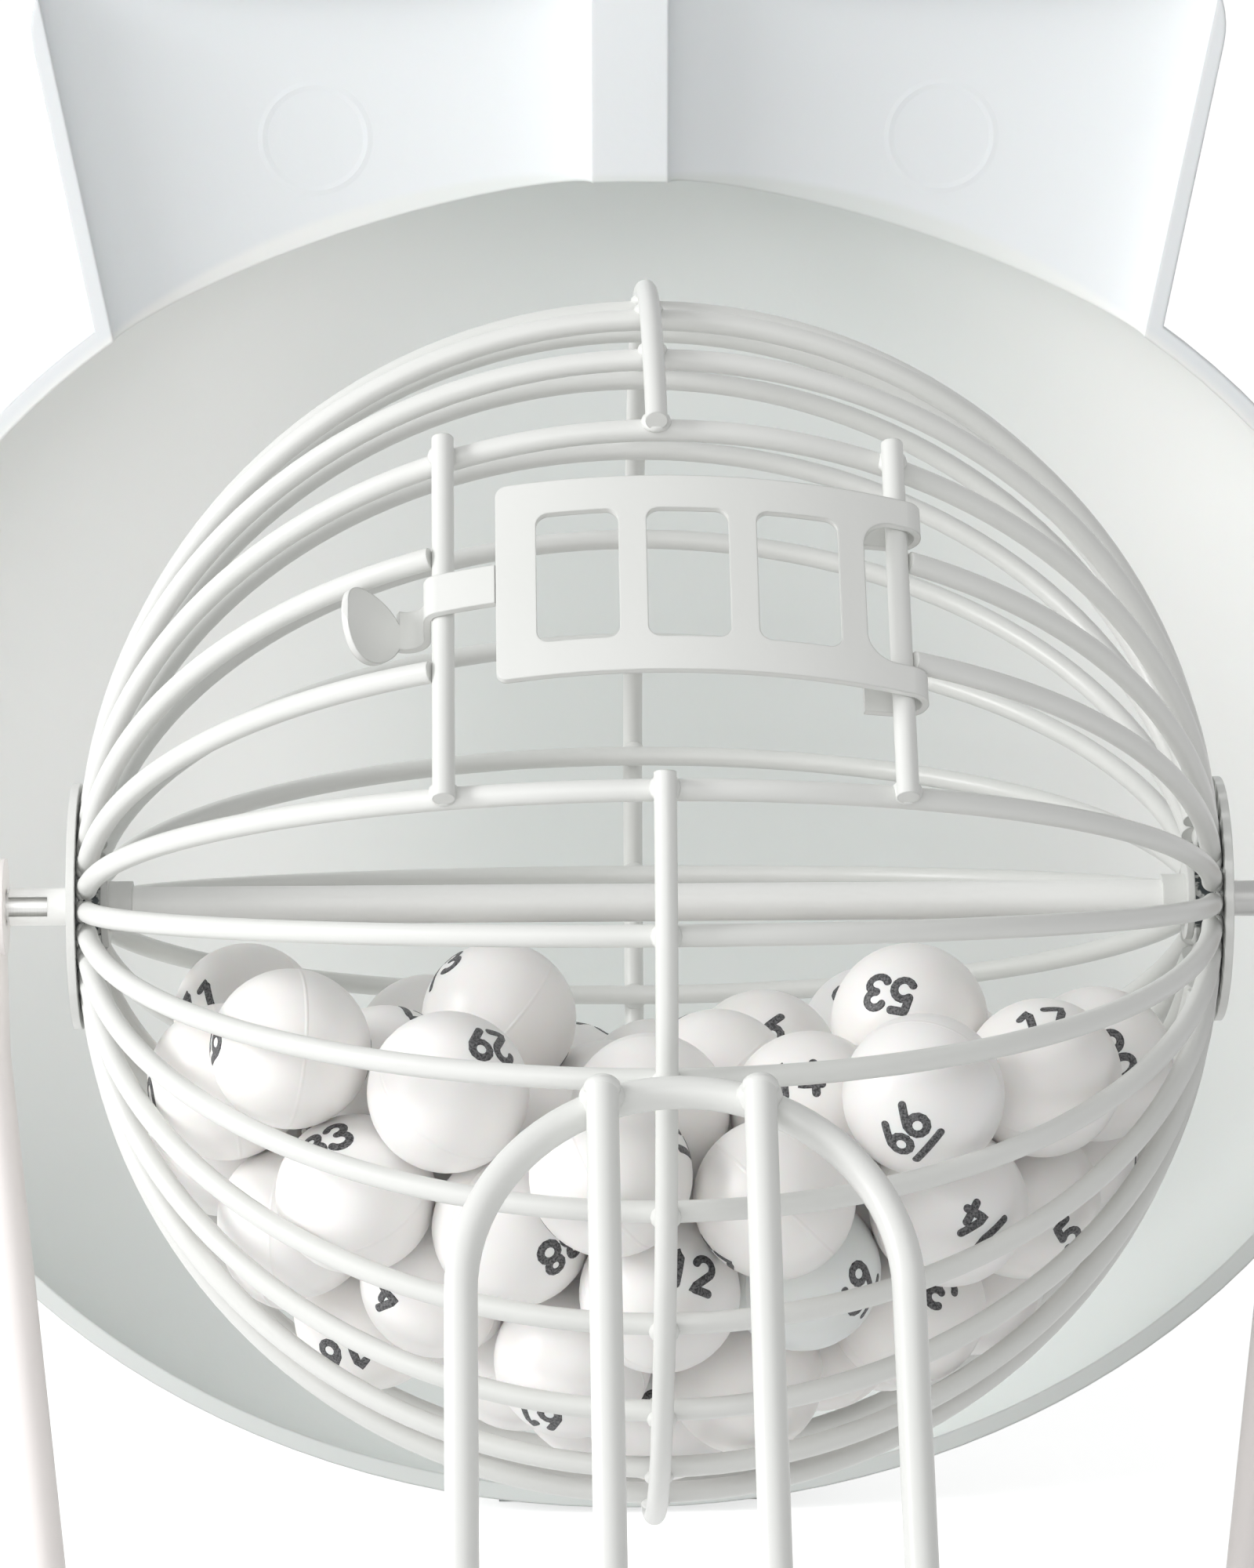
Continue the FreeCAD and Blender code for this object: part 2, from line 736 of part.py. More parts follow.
def post(label, side, hole):
    """One post of the stand with its flat eye."""
    eye = round_bar(
        f"{label}_eye",
        "Sizes.eye_d / 2",
        "Sizes.eye_t",
        chain(AXLE, shift(f"{side} * {EYE_X} - Sizes.eye_t / 2"), turn("y", "90 deg")),
    )
    flat = doc.addObject("Part::Ellipse", f"{label}_flat_section")
    bind(
        flat,
        MajorRadius="Sizes.neck_width / 2",
        MinorRadius="Sizes.eye_t / 2 - Sizes.weld_bite",
        Placement=chain(AXLE, shift(f"{side} * {EYE_X}", "0", "-Sizes.neck_top"), turn("z", "90 deg")),
    )
    full = doc.addObject("Part::Circle", f"{label}_round_section")
    bind(
        full,
        Radius="Sizes.post_d / 2",
        Placement=chain(AXLE, shift(f"{side} * {POST_TOP_X}", "0", f"-{NECK_LOW_Z}"), turn("z", "90 deg")),
    )
    neck = doc.addObject("Part::Loft", f"{label}_neck")
    neck.Sections = [flat, full]
    neck.Solid = True
    neck.Ruled = True
    foot = doc.addObject("Part::Circle", f"{label}_foot_section")
    bind(
        foot,
        Radius="Sizes.post_d / 2",
        Placement=chain(AXLE, shift(f"{side} * Sizes.post_foot_x", "0", POST_FOOT_Z), turn("z", "90 deg")),
    )
    stem = doc.addObject("Part::Loft", f"{label}_stem")
    stem.Sections = [full, foot]
    stem.Solid = True
    stem.Ruled = True
    bore = round_bar(
        f"{label}_bore",
        f"{hole} / 2",
        "3 * Sizes.eye_t",
        chain(AXLE, shift(f"{side} * {EYE_X} - 1.5 * Sizes.eye_t"), turn("y", "90 deg")),
    )
    return node(cut(label, joined(f"{label}_forged", [eye, neck, stem]), bore), label)


post("post_left", -1, "Sizes.pin_d")
post("post_right", 1, "Sizes.bush_d")

# Four rubber sleeves on the base loop, trimmed flat underneath.
foot_tubes = []
for number, (side, y) in enumerate(
    (
        (-1, f"-{BASE_FRONT} + Sizes.foot_inset_length"),
        (1, f"-{BASE_FRONT} + Sizes.foot_inset_length"),
        (-1, "Sizes.base_rear_length - Sizes.foot_inset_length"),
        (1, "Sizes.base_rear_length - Sizes.foot_inset_length"),
    ),
    start=1,
):
    place = chain(
        AXLE,
        shift(
            f"{side} * Sizes.post_foot_x",
            f"{y} + Sizes.foot_length / 2",
            "Sizes.foot_lift + Sizes.base_wire_d / 2 - Sizes.axle_height",
        ),
        turn("x", "90 deg"),
    )
    rubber = round_bar(f"foot_{number}_rubber", "Sizes.foot_d / 2", "Sizes.foot_length", place)
    hole = round_bar(f"foot_{number}_hole", "Sizes.base_wire_d / 2", "Sizes.foot_length", place)
    foot_tubes.append(cut(f"foot_{number}", rubber, hole))
foot_group = doc.addObject("Part::Compound", "foot_group")
foot_group.Links = foot_tubes
ground = doc.addObject("Part::Box", "foot_ground")
bind(
    ground,
    Length="3 * Sizes.post_foot_x",
    Width=f"2 * ({BASE_FRONT} + Sizes.base_rear_length)",
    Height="Sizes.foot_d",
    Placement=shift(
        "Sizes.axle_x - 1.5 * Sizes.post_foot_x",
        f"Sizes.axle_y - {BASE_FRONT} - Sizes.base_rear_length",
        "-Sizes.foot_d",
    ),
)
rubber_feet = doc.addObject("Part::Cut", "rubber_feet")
rubber_feet.Base = foot_group
rubber_feet.Tool = ground
node(rubber_feet, "rubber_feet")

# ---------------------------------------------------------------- bearings and crank

pin_shank = round_bar(
    "pivot_pin_shank",
    "Sizes.pin_d / 2",
    "Sizes.eye_t + Sizes.pin_reach",
    chain(AXLE, shift("-Sizes.post_face_x - Sizes.eye_t"), turn("y", "90 deg")),
)
pin_head = round_bar(
    "pivot_pin_head",
    "Sizes.pin_head_d / 2",
    "Sizes.pin_head_t",
    chain(AXLE, shift("-Sizes.post_face_x - Sizes.eye_t - Sizes.pin_head_t"), turn("y", "90 deg")),
)
node(joined("pivot_pin", [pin_shank, pin_head]), "pivot_pin")

BUSH_IN_X = "(Sizes.post_face_x - Sizes.bush_flange_t)"
CRANK_IN_X = "(Sizes.post_face_x + Sizes.post_d + Sizes.crank_gap)"
BUSH_LENGTH = f"({CRANK_IN_X} - Sizes.crank_gap - {BUSH_IN_X})"
bush_barrel = round_bar(
    "bush_barrel", "Sizes.bush_d / 2", BUSH_LENGTH, chain(AXLE, shift(BUSH_IN_X), turn("y", "90 deg"))
)
bush_flange = round_bar(
    "bush_flange",
    "Sizes.bush_flange_d / 2",
    "Sizes.bush_flange_t",
    chain(AXLE, shift(BUSH_IN_X), turn("y", "90 deg")),
)
bush_bore = round_bar(
    "bush_bore",
    "Sizes.shaft_d / 2 + Sizes.running_gap",
    f"{BUSH_LENGTH} + 2",
    chain(AXLE, shift(f"{BUSH_IN_X} - 1"), turn("y", "90 deg")),
)
node(cut("bearing_bush", joined("bush_turned", [bush_barrel, bush_flange]), bush_bore), "bearing_bush")

CRANK_OUT_X = f"({CRANK_IN_X} + Sizes.crank_t)"
shaft_main = round_bar(
    "shaft_main",
    "Sizes.shaft_d / 2",
    f"{CRANK_OUT_X} + Sizes.nut_t / 2 - {HUB_OUTER_X}",
    chain(AXLE, shift(HUB_OUTER_X), turn("y", "90 deg")),
)
shaft_spigot = round_bar(
    "shaft_spigot",
    "Sizes.axle_bore_d / 2",
    "Sizes.spigot_length + 1",
    chain(AXLE, shift(f"{HUB_OUTER_X} - Sizes.spigot_length"), turn("y", "90 deg")),
)
node(joined("crank_shaft", [shaft_main, shaft_spigot]), "crank_shaft")


def crank_arm(label):
    """The flat arm: a bar with round ends and two holes."""
    body = doc.addObject("PartDesign::Body", label)
    outline = sketch_on(body, f"{label}_outline", "XY_Plane")
    radius = size("crank_width") / 2
    length = size("crank_length")
    near = outline.addGeometry(
        Part.ArcOfCircle(
            Part.Circle(FreeCAD.Vector(), FreeCAD.Vector(0, 0, 1), radius), math.pi / 2, 3 * math.pi / 2
        )
    )
    far = outline.addGeometry(
        Part.ArcOfCircle(
            Part.Circle(FreeCAD.Vector(length, 0, 0), FreeCAD.Vector(0, 0, 1), radius),
            -math.pi / 2,
            math.pi / 2,
        )
    )
    low = outline.addGeometry(
        Part.LineSegment(FreeCAD.Vector(0, -radius, 0), FreeCAD.Vector(length, -radius, 0))
    )
    high = outline.addGeometry(
        Part.LineSegment(FreeCAD.Vector(length, radius, 0), FreeCAD.Vector(0, radius, 0))
    )
    for rule in (
        Sketcher.Constraint("Coincident", near, 3, -1, 1),
        Sketcher.Constraint("PointOnObject", far, 3, -1),
        Sketcher.Constraint("Tangent", near, 2, low, 1),
        Sketcher.Constraint("Tangent", low, 2, far, 1),
        Sketcher.Constraint("Tangent", far, 2, high, 1),
        Sketcher.Constraint("Tangent", high, 2, near, 1),
    ):
        outline.addConstraint(rule)
    width_rule = outline.addConstraint(Sketcher.Constraint("Radius", near, radius))
    reach_rule = outline.addConstraint(Sketcher.Constraint("DistanceX", near, 3, far, 3, length))
    outline.setExpression(f"Constraints[{width_rule}]", "Sizes.crank_width / 2")
    outline.setExpression(f"Constraints[{reach_rule}]", "Sizes.crank_length")
    pad = body.newObject("PartDesign::Pad", f"{label}_pad")
    pad.Profile = outline
    bind(pad, Length="Sizes.crank_t")
    doc.recompute()
    holes = sketch_on(body, f"{label}_holes", "XY_Plane")
    ring_in(holes, "Sizes.shaft_d / 2")
    spindle = ring_in(holes, "Sizes.spindle_d / 2", length)
    holes.addConstraint(Sketcher.Constraint("PointOnObject", spindle, 3, -1))
    spacing = holes.addConstraint(Sketcher.Constraint("DistanceX", -1, 1, spindle, 3, length))
    holes.setExpression(f"Constraints[{spacing}]", "Sizes.crank_length")
    pocket = body.newObject("PartDesign::Pocket", f"{label}_pocket")
    pocket.Profile = holes
    pocket.Type = "ThroughAll"
    pocket.Midplane = True
    bind(body, Placement=chain(AXLE, shift(CRANK_IN_X), turn("y", "90 deg")))
    return node(body, label)


crank_arm("crank_arm")

nut_block = doc.addObject("Part::Prism", "crank_nut_block")
nut_block.Polygon = 6
bind(
    nut_block,
    Circumradius="Sizes.nut_d / 2",
    Height="Sizes.nut_t",
    Placement=chain(AXLE, shift(CRANK_OUT_X), turn("y", "90 deg")),
)
nut_hole = round_bar(
    "crank_nut_hole",
    "Sizes.shaft_d / 2",
    "Sizes.nut_t / 2",
    chain(AXLE, shift(CRANK_OUT_X), turn("y", "90 deg")),
)
node(cut("crank_nut", nut_block, nut_hole), "crank_nut")

# The grip turns on a spindle that is riveted into the far end of the arm.
GRIP_PLACE = chain(AXLE, shift(CRANK_IN_X, "0", "-Sizes.crank_length"), turn("y", "90 deg"))
GRIP_START = "(Sizes.crank_t + Sizes.end_gap)"
GRIP_END = f"({GRIP_START} + Sizes.grip_length)"
spindle_rod = round_bar(
    "spindle_rod", "Sizes.spindle_d / 2", f"{GRIP_END} + Sizes.end_gap", GRIP_PLACE
)
spindle_head = round_bar(
    "spindle_head",
    "Sizes.spindle_head_d / 2",
    "Sizes.spindle_head_t",
    chain(GRIP_PLACE, shift(z=f"{GRIP_END} + Sizes.end_gap")),
)
node(joined("grip_spindle", [spindle_rod, spindle_head]), "grip_spindle")

grip = doc.addObject("PartDesign::Body", "crank_grip")
grip_outline = sketch_on(grip, "crank_grip_outline", "XZ_Plane")
grip_length = size("grip_length")
grip_bore = size("spindle_d") / 2 + size("running_gap")
grip_points = [
    FreeCAD.Vector(grip_bore, 0, 0),
    FreeCAD.Vector(size("grip_root_d") / 2, 0, 0),
    FreeCAD.Vector(size("grip_belly_d") / 2, 0.62 * grip_length, 0),
    FreeCAD.Vector(size("grip_end_d") / 2, grip_length, 0),
    FreeCAD.Vector(grip_bore, grip_length, 0),
]
grip_outline.addGeometry(Part.LineSegment(grip_points[0], grip_points[1]))
grip_outline.addGeometry(Part.Arc(grip_points[1], grip_points[2], grip_points[3]))
grip_outline.addGeometry(Part.LineSegment(grip_points[3], grip_points[4]))
grip_outline.addGeometry(Part.LineSegment(grip_points[4], grip_points[0]))
grip_turned = grip.newObject("PartDesign::Revolution", "crank_grip_turned")
grip_turned.Profile = grip_outline
grip_turned.ReferenceAxis = (grip_outline, ["V_Axis"])
grip_turned.Angle = 360
bind(grip, Placement=chain(GRIP_PLACE, shift(z=GRIP_START)))
node(grip, "crank_grip")

# ---------------------------------------------------------------- ball slide

slide_d = size("slide_wire_d")
rail_d = size("rail_wire_d")
slope = math.radians(size("slide_slope"))
lip = math.radians(size("lip_angle"))
rack_level = sheet.evalExpression(RACK_LEVEL)
bend_y = -sheet.evalExpression(SLIDE_FOOT)
rack_end_y = bend_y - size("rack_length")


def slide_line(rise):
    """Side view of the slide, raised square to the wires: top, foot, rack end and lip end."""
    normal_y, normal_z = -math.sin(slope), math.cos(slope)
    top = (-size("slide_top_y") + rise * normal_y, size("slide_top_z") + rise * normal_z)
    foot_y = bend_y - rise * math.tan(slope / 2)
    end_y = rack_end_y + rise * math.tan(lip / 2)
    level = rack_level + rise
    lip_end = (
        rack_end_y - size("lip_length") * math.cos(lip) + rise * math.sin(lip),
        rack_level + size("lip_length") * math.sin(lip) + rise * math.cos(lip),
    )
    return top, (foot_y, level), (end_y, level), lip_end


half_width = size("slide_half_width")
side_view = slide_line(0)
slide_points = [FreeCAD.Vector(-half_width, y, z) for y, z in side_view]
slide_points += [FreeCAD.Vector(half_width, y, z) for y, z in reversed(side_view)]
side_radii = [
    half_width,
    size("slide_bend_radius"),
    size("lip_bend_radius"),
    size("lip_corner_radius"),
]
slide_shape = bent_wire(slide_points, side_radii + side_radii[::-1], slide_d, closed=True)
SLIDE = chain(AXLE, shift("Sizes.slide_x"))
wire_node("slide_frame", slide_shape, SLIDE)

rail_rise = (slide_d + rail_d) / 2 - size("weld_bite")
rail_view = slide_line(rail_rise)
arch_drop = half_width - math.sqrt(half_width**2 - size("rail_x") ** 2)
down_y, down_z = -math.cos(slope), -math.sin(slope)
rail_from = arch_drop - size("rail_poke")
for name, side in (("left", -1), ("right", 1)):
    rail_x = side * size("rail_x")
    (top_y, top_z), foot_point, end_point, lip_point = rail_view
    rail_points = [FreeCAD.Vector(rail_x, top_y + rail_from * down_y, top_z + rail_from * down_z)]
    rail_points += [FreeCAD.Vector(rail_x, y, z) for y, z in (foot_point, end_point, lip_point)]
    rail_shape = bent_wire(
        rail_points,
        [0, size("slide_bend_radius") - rail_rise, size("lip_bend_radius") - rail_rise, 0],
        rail_d,
    )
    wire_node(f"slide_rail_{name}", rail_shape, SLIDE)

# ---------------------------------------------------------------- ball tray


# The tray stands by itself: its parts are placed from the middle of its rim.
TRAY = shift(
    "Sizes.axle_x",
    "Sizes.axle_y + Sizes.tray_rim_y",
    "Sizes.tray_half_height + Sizes.tray_lift",
)


def tray_bowl(name, margin):
    """An oval bowl behind the rim, larger than the inside by a margin all round.

    Its rings narrow slowly near the rim, so that the wall stands up there.
    """
    steps = 7
    rings = []
    for step in range(steps):
        angle = math.radians(90) * step / (steps - 1)
        share = 1 - (1 - size("tray_floor_share")) * (1 - math.cos(angle))
        depth = f"((Sizes.tray_depth + {margin}) * {math.sin(angle) ** 0.8:.6f})"
        ring = doc.addObject("Part::Ellipse", f"{name}_ring_{step + 1}")
        bind(
            ring,
            MajorRadius=f"(Sizes.tray_half_width - Sizes.tray_wall + {margin}) * {share:.6f}",
            MinorRadius=f"(Sizes.tray_half_height - Sizes.tray_wall + {margin}) * {share:.6f}",
            Placement=chain(TRAY, shift(y=depth), turn("x", "90 deg")),
        )
        rings.append(ring)
    bowl = doc.addObject("Part::Loft", name)
    bowl.Sections = rings
    bowl.Solid = True
    bowl.Ruled = False
    return bowl


outer_bowl = tray_bowl("tray_outer_bowl", "Sizes.tray_wall")
inner_bowl = tray_bowl("tray_inner_bowl", "0")

trough_corners = [
    FreeCAD.Vector(side * width, 0, z)
    for side, width, z in (
        (-1, size("trough_foot_half_width"), 0),
        (1, size("trough_foot_half_width"), 0),
        (1, size("trough_half_width"), size("trough_rise")),
        (-1, size("trough_half_width"), size("trough_rise")),
    )
]
trough_side = Part.Face(Part.makePolygon(trough_corners, True))
trough_back = size("trough_depth") + size("tray_wall")
trough_block = trough_side.extrude(FreeCAD.Vector(0, trough_back, 0))
top_corners = [
    edge
    for edge in trough_block.Edges
    if abs(edge.Vertexes[0].Y - edge.Vertexes[-1].Y) > size("trough_depth")
    and edge.Vertexes[0].Z > size("trough_rise") / 2
]
trough_outer = doc.addObject("Part::Feature", "tray_trough_outer")
trough_outer.Shape = trough_block.makeFillet(size("trough_corner_radius"), top_corners)
bind(trough_outer, Placement=TRAY)


def lane_section(name, side, half_width, z):
    """The oval section of one lane at a height, between the divider and the outer wall."""
    lane_half = f"({half_width} - Sizes.lane_wall - Sizes.lane_gap / 2) / 2"
    section = doc.addObject("Part::Ellipse", name)
    bind(
        section,
        MajorRadius=lane_half,
        MinorRadius="Sizes.trough_depth",
        Placement=chain(TRAY, shift(f"{side} * (Sizes.lane_gap / 2 + {lane_half})", "0", z)),
    )
    return section


lanes = []
for name, side in (("left", -1), ("right", 1)):
    lane = doc.addObject("Part::Loft", f"lane_{name}")
    lane.Sections = [
        lane_section(f"lane_{name}_low", side, "Sizes.trough_foot_half_width", "0"),
        lane_section(
            f"lane_{name}_high",
            side,
            "Sizes.trough_half_width",
            "Sizes.trough_rise - Sizes.lane_wall",
        ),
    ]
    lane.Solid = True
    lane.Ruled = True
    lanes.append(lane)

# The foot under the bowl is flat, and two bosses behind the trough carry the easel.
tray_foot = doc.addObject("Part::Box", "tray_foot")
bind(
    tray_foot,
    Length="Sizes.tray_foot_width",
    Width="Sizes.tray_depth / 2",
    Height="Sizes.tray_lift + Sizes.tray_foot_t",
    Placement=chain(
        TRAY,
        shift(
            "-Sizes.tray_foot_width / 2",
            "2 * Sizes.tray_wall",
            "-Sizes.tray_half_height - Sizes.tray_lift",
        ),
    ),
)
PIVOT_Y = "(Sizes.tray_depth + Sizes.tray_wall + Sizes.easel_wire_d / 2 + Sizes.easel_gap)"
BOSS_LENGTH = f"({PIVOT_Y} + Sizes.boss_d / 2 - Sizes.trough_depth)"
bosses = []
for name, side in (("left", -1), ("right", 1)):
    bosses.append(
        round_bar(
            f"boss_{name}",
            "Sizes.boss_d / 2",
            BOSS_LENGTH,
            chain(
                TRAY,
                shift(
                    f"{side} * Sizes.boss_x",
                    "Sizes.trough_depth + Sizes.tray_wall / 2",
                    "Sizes.boss_rise",
                ),
                turn("x", "-90 deg"),
            ),
        )
    )
pivot_hole = round_bar(
    "boss_pivot_hole",
    "Sizes.easel_wire_d / 2 + Sizes.running_gap",
    "2 * Sizes.boss_x",
    chain(TRAY, shift("-Sizes.boss_x", PIVOT_Y, "Sizes.boss_rise"), turn("y", "90 deg")),
)
tray_solid = joined("tray_solid", [outer_bowl, trough_outer, tray_foot] + bosses)
tray_hollow = joined("tray_hollow", [inner_bowl, pivot_hole] + lanes)
node(cut("ball_tray", tray_solid, tray_hollow), "ball_tray")
doc.recompute()

# The easel is one wire: its two ends turn in the bosses and its foot stands on the ground.
pivot_height = size("tray_half_height") + size("tray_lift") + size("boss_rise")
easel_leg = (pivot_height - size("easel_wire_d") / 2) / math.cos(math.radians(size("easel_lean")))
leg_x = size("boss_x") - size("boss_d") / 2 - size("easel_gap") - size("easel_wire_d") / 2
easel_points = [
    FreeCAD.Vector(-size("boss_x"), 0, 0),
    FreeCAD.Vector(-leg_x, 0, 0),
    FreeCAD.Vector(-leg_x, 0, -easel_leg),
    FreeCAD.Vector(leg_x, 0, -easel_leg),
    FreeCAD.Vector(leg_x, 0, 0),
    FreeCAD.Vector(size("boss_x"), 0, 0),
]
eye_bend = size("easel_wire_d") / 2 + size("easel_gap")
easel_shape = bent_wire(
    easel_points,
    [0, eye_bend, size("easel_corner_radius"), size("easel_corner_radius"), eye_bend, 0],
    size("easel_wire_d"),
)
wire_node(
    "tray_easel",
    easel_shape,
    chain(
        TRAY,
        shift("0", PIVOT_Y, "Sizes.boss_rise"),
        turn("x", "Sizes.easel_lean * 1 deg"),
    ),
)

# ---------------------------------------------------------------- balls

arc_offset = sheet.evalExpression(ARC_OFFSET)
arc_radius = sheet.evalExpression(ARC_RADIUS)
ball_radius = size("ball_d") / 2
clear_radius = ball_radius + size("ball_gap")
tongue_floor = (
    latch.y - size("tongue_drop") - size("tongue_bend_radius") - leaf_t / 2 - size("ball_gap")
)
curl_drop = 2 * size("knuckle_radius") + leaf_t / 2
tail_floor = hinge.y + wrap_radius - curl_drop - size("ball_gap")
# Rings that the door's inner pieces sweep as the drum turns: from x, to x, inner radius.
SWEPT_RINGS = (
    (tab_end.x - leaf_t, latch.x, tongue_floor),
    (hinge.x - size("tail_length") - leaf_t, hinge.x + curl_drop, tail_floor),
)
wall_reach = arc_radius - size("cage_wire_d") / 2 - clear_radius
axle_reach = size("axle_tube_d") / 2 + clear_radius
collar_x = (
    size("hub_face_x")
    - size("collar_boss_length")
    - size("collar_flange_t")
    - size("collar_sleeve_length")
)


def kept_inside(ball):
    """Move a ball back inside the cage wires, and off the axle and the swept rings."""
    x, y, z = ball
    x = max(clear_radius - collar_x, min(collar_x - clear_radius, x))
    radius = math.hypot(y, z)
    wanted = max(radius, axle_reach)
    outside = math.hypot(x, wanted - arc_offset) / wall_reach
    if wanted > arc_offset and outside > 1:
        x /= outside
        wanted = arc_offset + (wanted - arc_offset) / outside
    for low, high, inner in SWEPT_RINGS:
        beside = max(low - x, x - high, 0)
        if beside < clear_radius:
            wanted = min(wanted, inner - math.sqrt(ball_radius**2 - min(beside, ball_radius) ** 2))
    if radius == 0:
        return x, 0.0, -wanted
    return x, y * wanted / radius, z * wanted / radius


def pushed_apart(balls, spacing):
    """Part every pair of balls that lies closer than the spacing."""
    order = sorted(balls, key=lambda ball: ball[2])
    for index, low in enumerate(order):
        for high in order[index + 1 :]:
            if high[2] - low[2] > spacing:
                break
            gap = [high[axis] - low[axis] for axis in range(3)]
            if abs(gap[0]) > spacing:
                continue
            distance = math.sqrt(gap[0] ** 2 + gap[1] ** 2 + gap[2] ** 2)
            if 0 < distance < spacing:
                push = 0.5 * (spacing - distance) / distance
                for axis in range(3):
                    high[axis] += gap[axis] * push
                    low[axis] -= gap[axis] * push


def settled_pile(count, seed, rounds=900):
    """Middles of balls that fall in the drum and come to rest, higher at the front.

    Each round moves every ball a little along the pull, then parts the balls that touch
    and puts back those that left the drum. The pull fades out before the last rounds.
    """
    draw = random.Random(seed)
    tilt = math.radians(size("pile_tilt"))
    balls = [
        [draw.uniform(-50, 50), draw.uniform(-55, 45), draw.uniform(-65, 40)] for _ in range(count)
    ]
    for number in range(rounds):
        step = 0.55 * max(0.0, min(1.0, 3 - number / rounds / 0.3))
        for ball in balls:
            ball[1] -= step * math.sin(tilt)
            ball[2] -= step * math.cos(tilt)
        pushed_apart(balls, size("ball_d") + size("ball_gap") / 2)
        for ball in balls:
            ball[:] = kept_inside(ball)
    return balls


centres = settled_pile(int(size("ball_count")), int(size("pile_seed")))
ball_group = doc.addObject("Part::Compound", "balls")
ball_items = []
for number, (x, y, z) in enumerate(centres, start=1):
    ball = doc.addObject("Part::Sphere", f"ball_{number:02d}")
    bind(ball, Radius="Sizes.ball_d / 2")
    ball.Placement = FreeCAD.Placement(FreeCAD.Vector(x, y, z), FreeCAD.Rotation())
    ball_items.append(ball)
ball_group.Links = ball_items
bind(ball_group, Placement=AXLE)
node(ball_group, "balls")

# ---------------------------------------------------------------- check and write

doc.recompute()
for item in doc.Objects:
    faults = [word for word in item.State if word in ("Invalid", "Error")]
    if faults:
        raise RuntimeError(f"{item.Name} failed: {faults}")
for item in nodes:
    if item.Shape.isNull() or not item.Shape.isValid() or not item.Shape.Solids:
        raise RuntimeError(f"{item.Label} has no valid solid")

closest = min(
    math.dist(one, two) for index, one in enumerate(centres) for two in centres[:index]
)
print(f"nearest two balls: {closest:.3f} mm")
whole = FreeCAD.BoundBox()
for item in nodes:
    item.Shape.exportStep(f"parts/{item.Label}.step")
    whole.add(item.Shape.BoundBox)
print(f"{len(nodes)} parts, box {whole}")
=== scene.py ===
"""Dresses a wire ball drum: coated wires, a moulded tray, printed balls, floor, lamps, camera."""

import json
import logging
import math
from collections.abc import Callable
from dataclasses import dataclass, field, replace
from enum import Enum

import bmesh
import bpy
import numpy as np
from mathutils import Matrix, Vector
from mathutils.bvhtree import BVHTree


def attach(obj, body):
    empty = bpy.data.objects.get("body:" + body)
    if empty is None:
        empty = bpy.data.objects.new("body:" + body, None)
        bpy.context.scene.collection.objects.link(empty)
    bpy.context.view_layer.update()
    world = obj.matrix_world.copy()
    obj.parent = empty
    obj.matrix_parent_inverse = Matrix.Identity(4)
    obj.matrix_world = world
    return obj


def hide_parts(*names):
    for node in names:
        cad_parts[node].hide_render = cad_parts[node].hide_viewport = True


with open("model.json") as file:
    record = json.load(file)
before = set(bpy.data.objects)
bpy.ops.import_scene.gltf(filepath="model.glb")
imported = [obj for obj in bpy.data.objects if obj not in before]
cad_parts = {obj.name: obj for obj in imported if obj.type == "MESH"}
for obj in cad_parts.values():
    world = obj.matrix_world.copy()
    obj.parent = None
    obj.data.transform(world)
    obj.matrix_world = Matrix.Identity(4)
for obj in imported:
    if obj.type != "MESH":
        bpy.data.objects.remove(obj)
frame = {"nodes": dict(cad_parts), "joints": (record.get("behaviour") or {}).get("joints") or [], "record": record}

LOG = logging.getLogger("ball_drum")
IMAGE_WIDTH = 1600
IMAGE_HEIGHT = 2000

Triple = tuple[float, float, float]
Quad = tuple[float, float, float, float]
Span = tuple[float, float]

WHITE: Quad = (1.0, 1.0, 1.0, 1.0)
SIDES = (-1.0, 1.0)
ALONG_X = np.array([1.0, 0.0, 0.0])


# ---------------------------------------------------------------- meshes


def shells(points: np.ndarray) -> tuple[np.ndarray, list[list[int]]]:
    """Closes grids of points into shells whose first and last rows are poles.

    Point (k, r, c) lies on shell k, in row r and column c; columns run round and meet.

    Args:
        points: Array of shape (shells, rows, columns, 3).

    Returns:
        The points of all shells and the faces that join them.
    """
    count, rows, columns = points.shape[:3]
    first = points[:, :1, :1].reshape(count, 1, 3)
    last = points[:, -1:, :1].reshape(count, 1, 3)
    middle = points[:, 1:-1].reshape(count, -1, 3)
    vertices = np.concatenate([first, middle, last], axis=1)
    per_shell = vertices.shape[1]

    here = np.arange(columns)
    after = (here + 1) % columns
    row = 1 + np.arange(rows - 3)[:, None] * columns
    quads = np.stack([row + here, row + after, row + columns + after, row + columns + here], -1)
    end = per_shell - 1
    low = 1 + (rows - 3) * columns
    zeros = np.zeros(columns, int)
    caps = np.concatenate(
        [
            np.stack([zeros, 1 + after, 1 + here], -1),
            np.stack([zeros + end, low + here, low + after], -1),
        ]
    )
    start = (np.arange(count) * per_shell)[:, None, None]
    all_quads = (quads.reshape(1, -1, 4) + start).reshape(-1, 4)
    all_caps = (caps[None] + start).reshape(-1, 3)
    return vertices.reshape(-1, 3), all_quads.tolist() + all_caps.tolist()


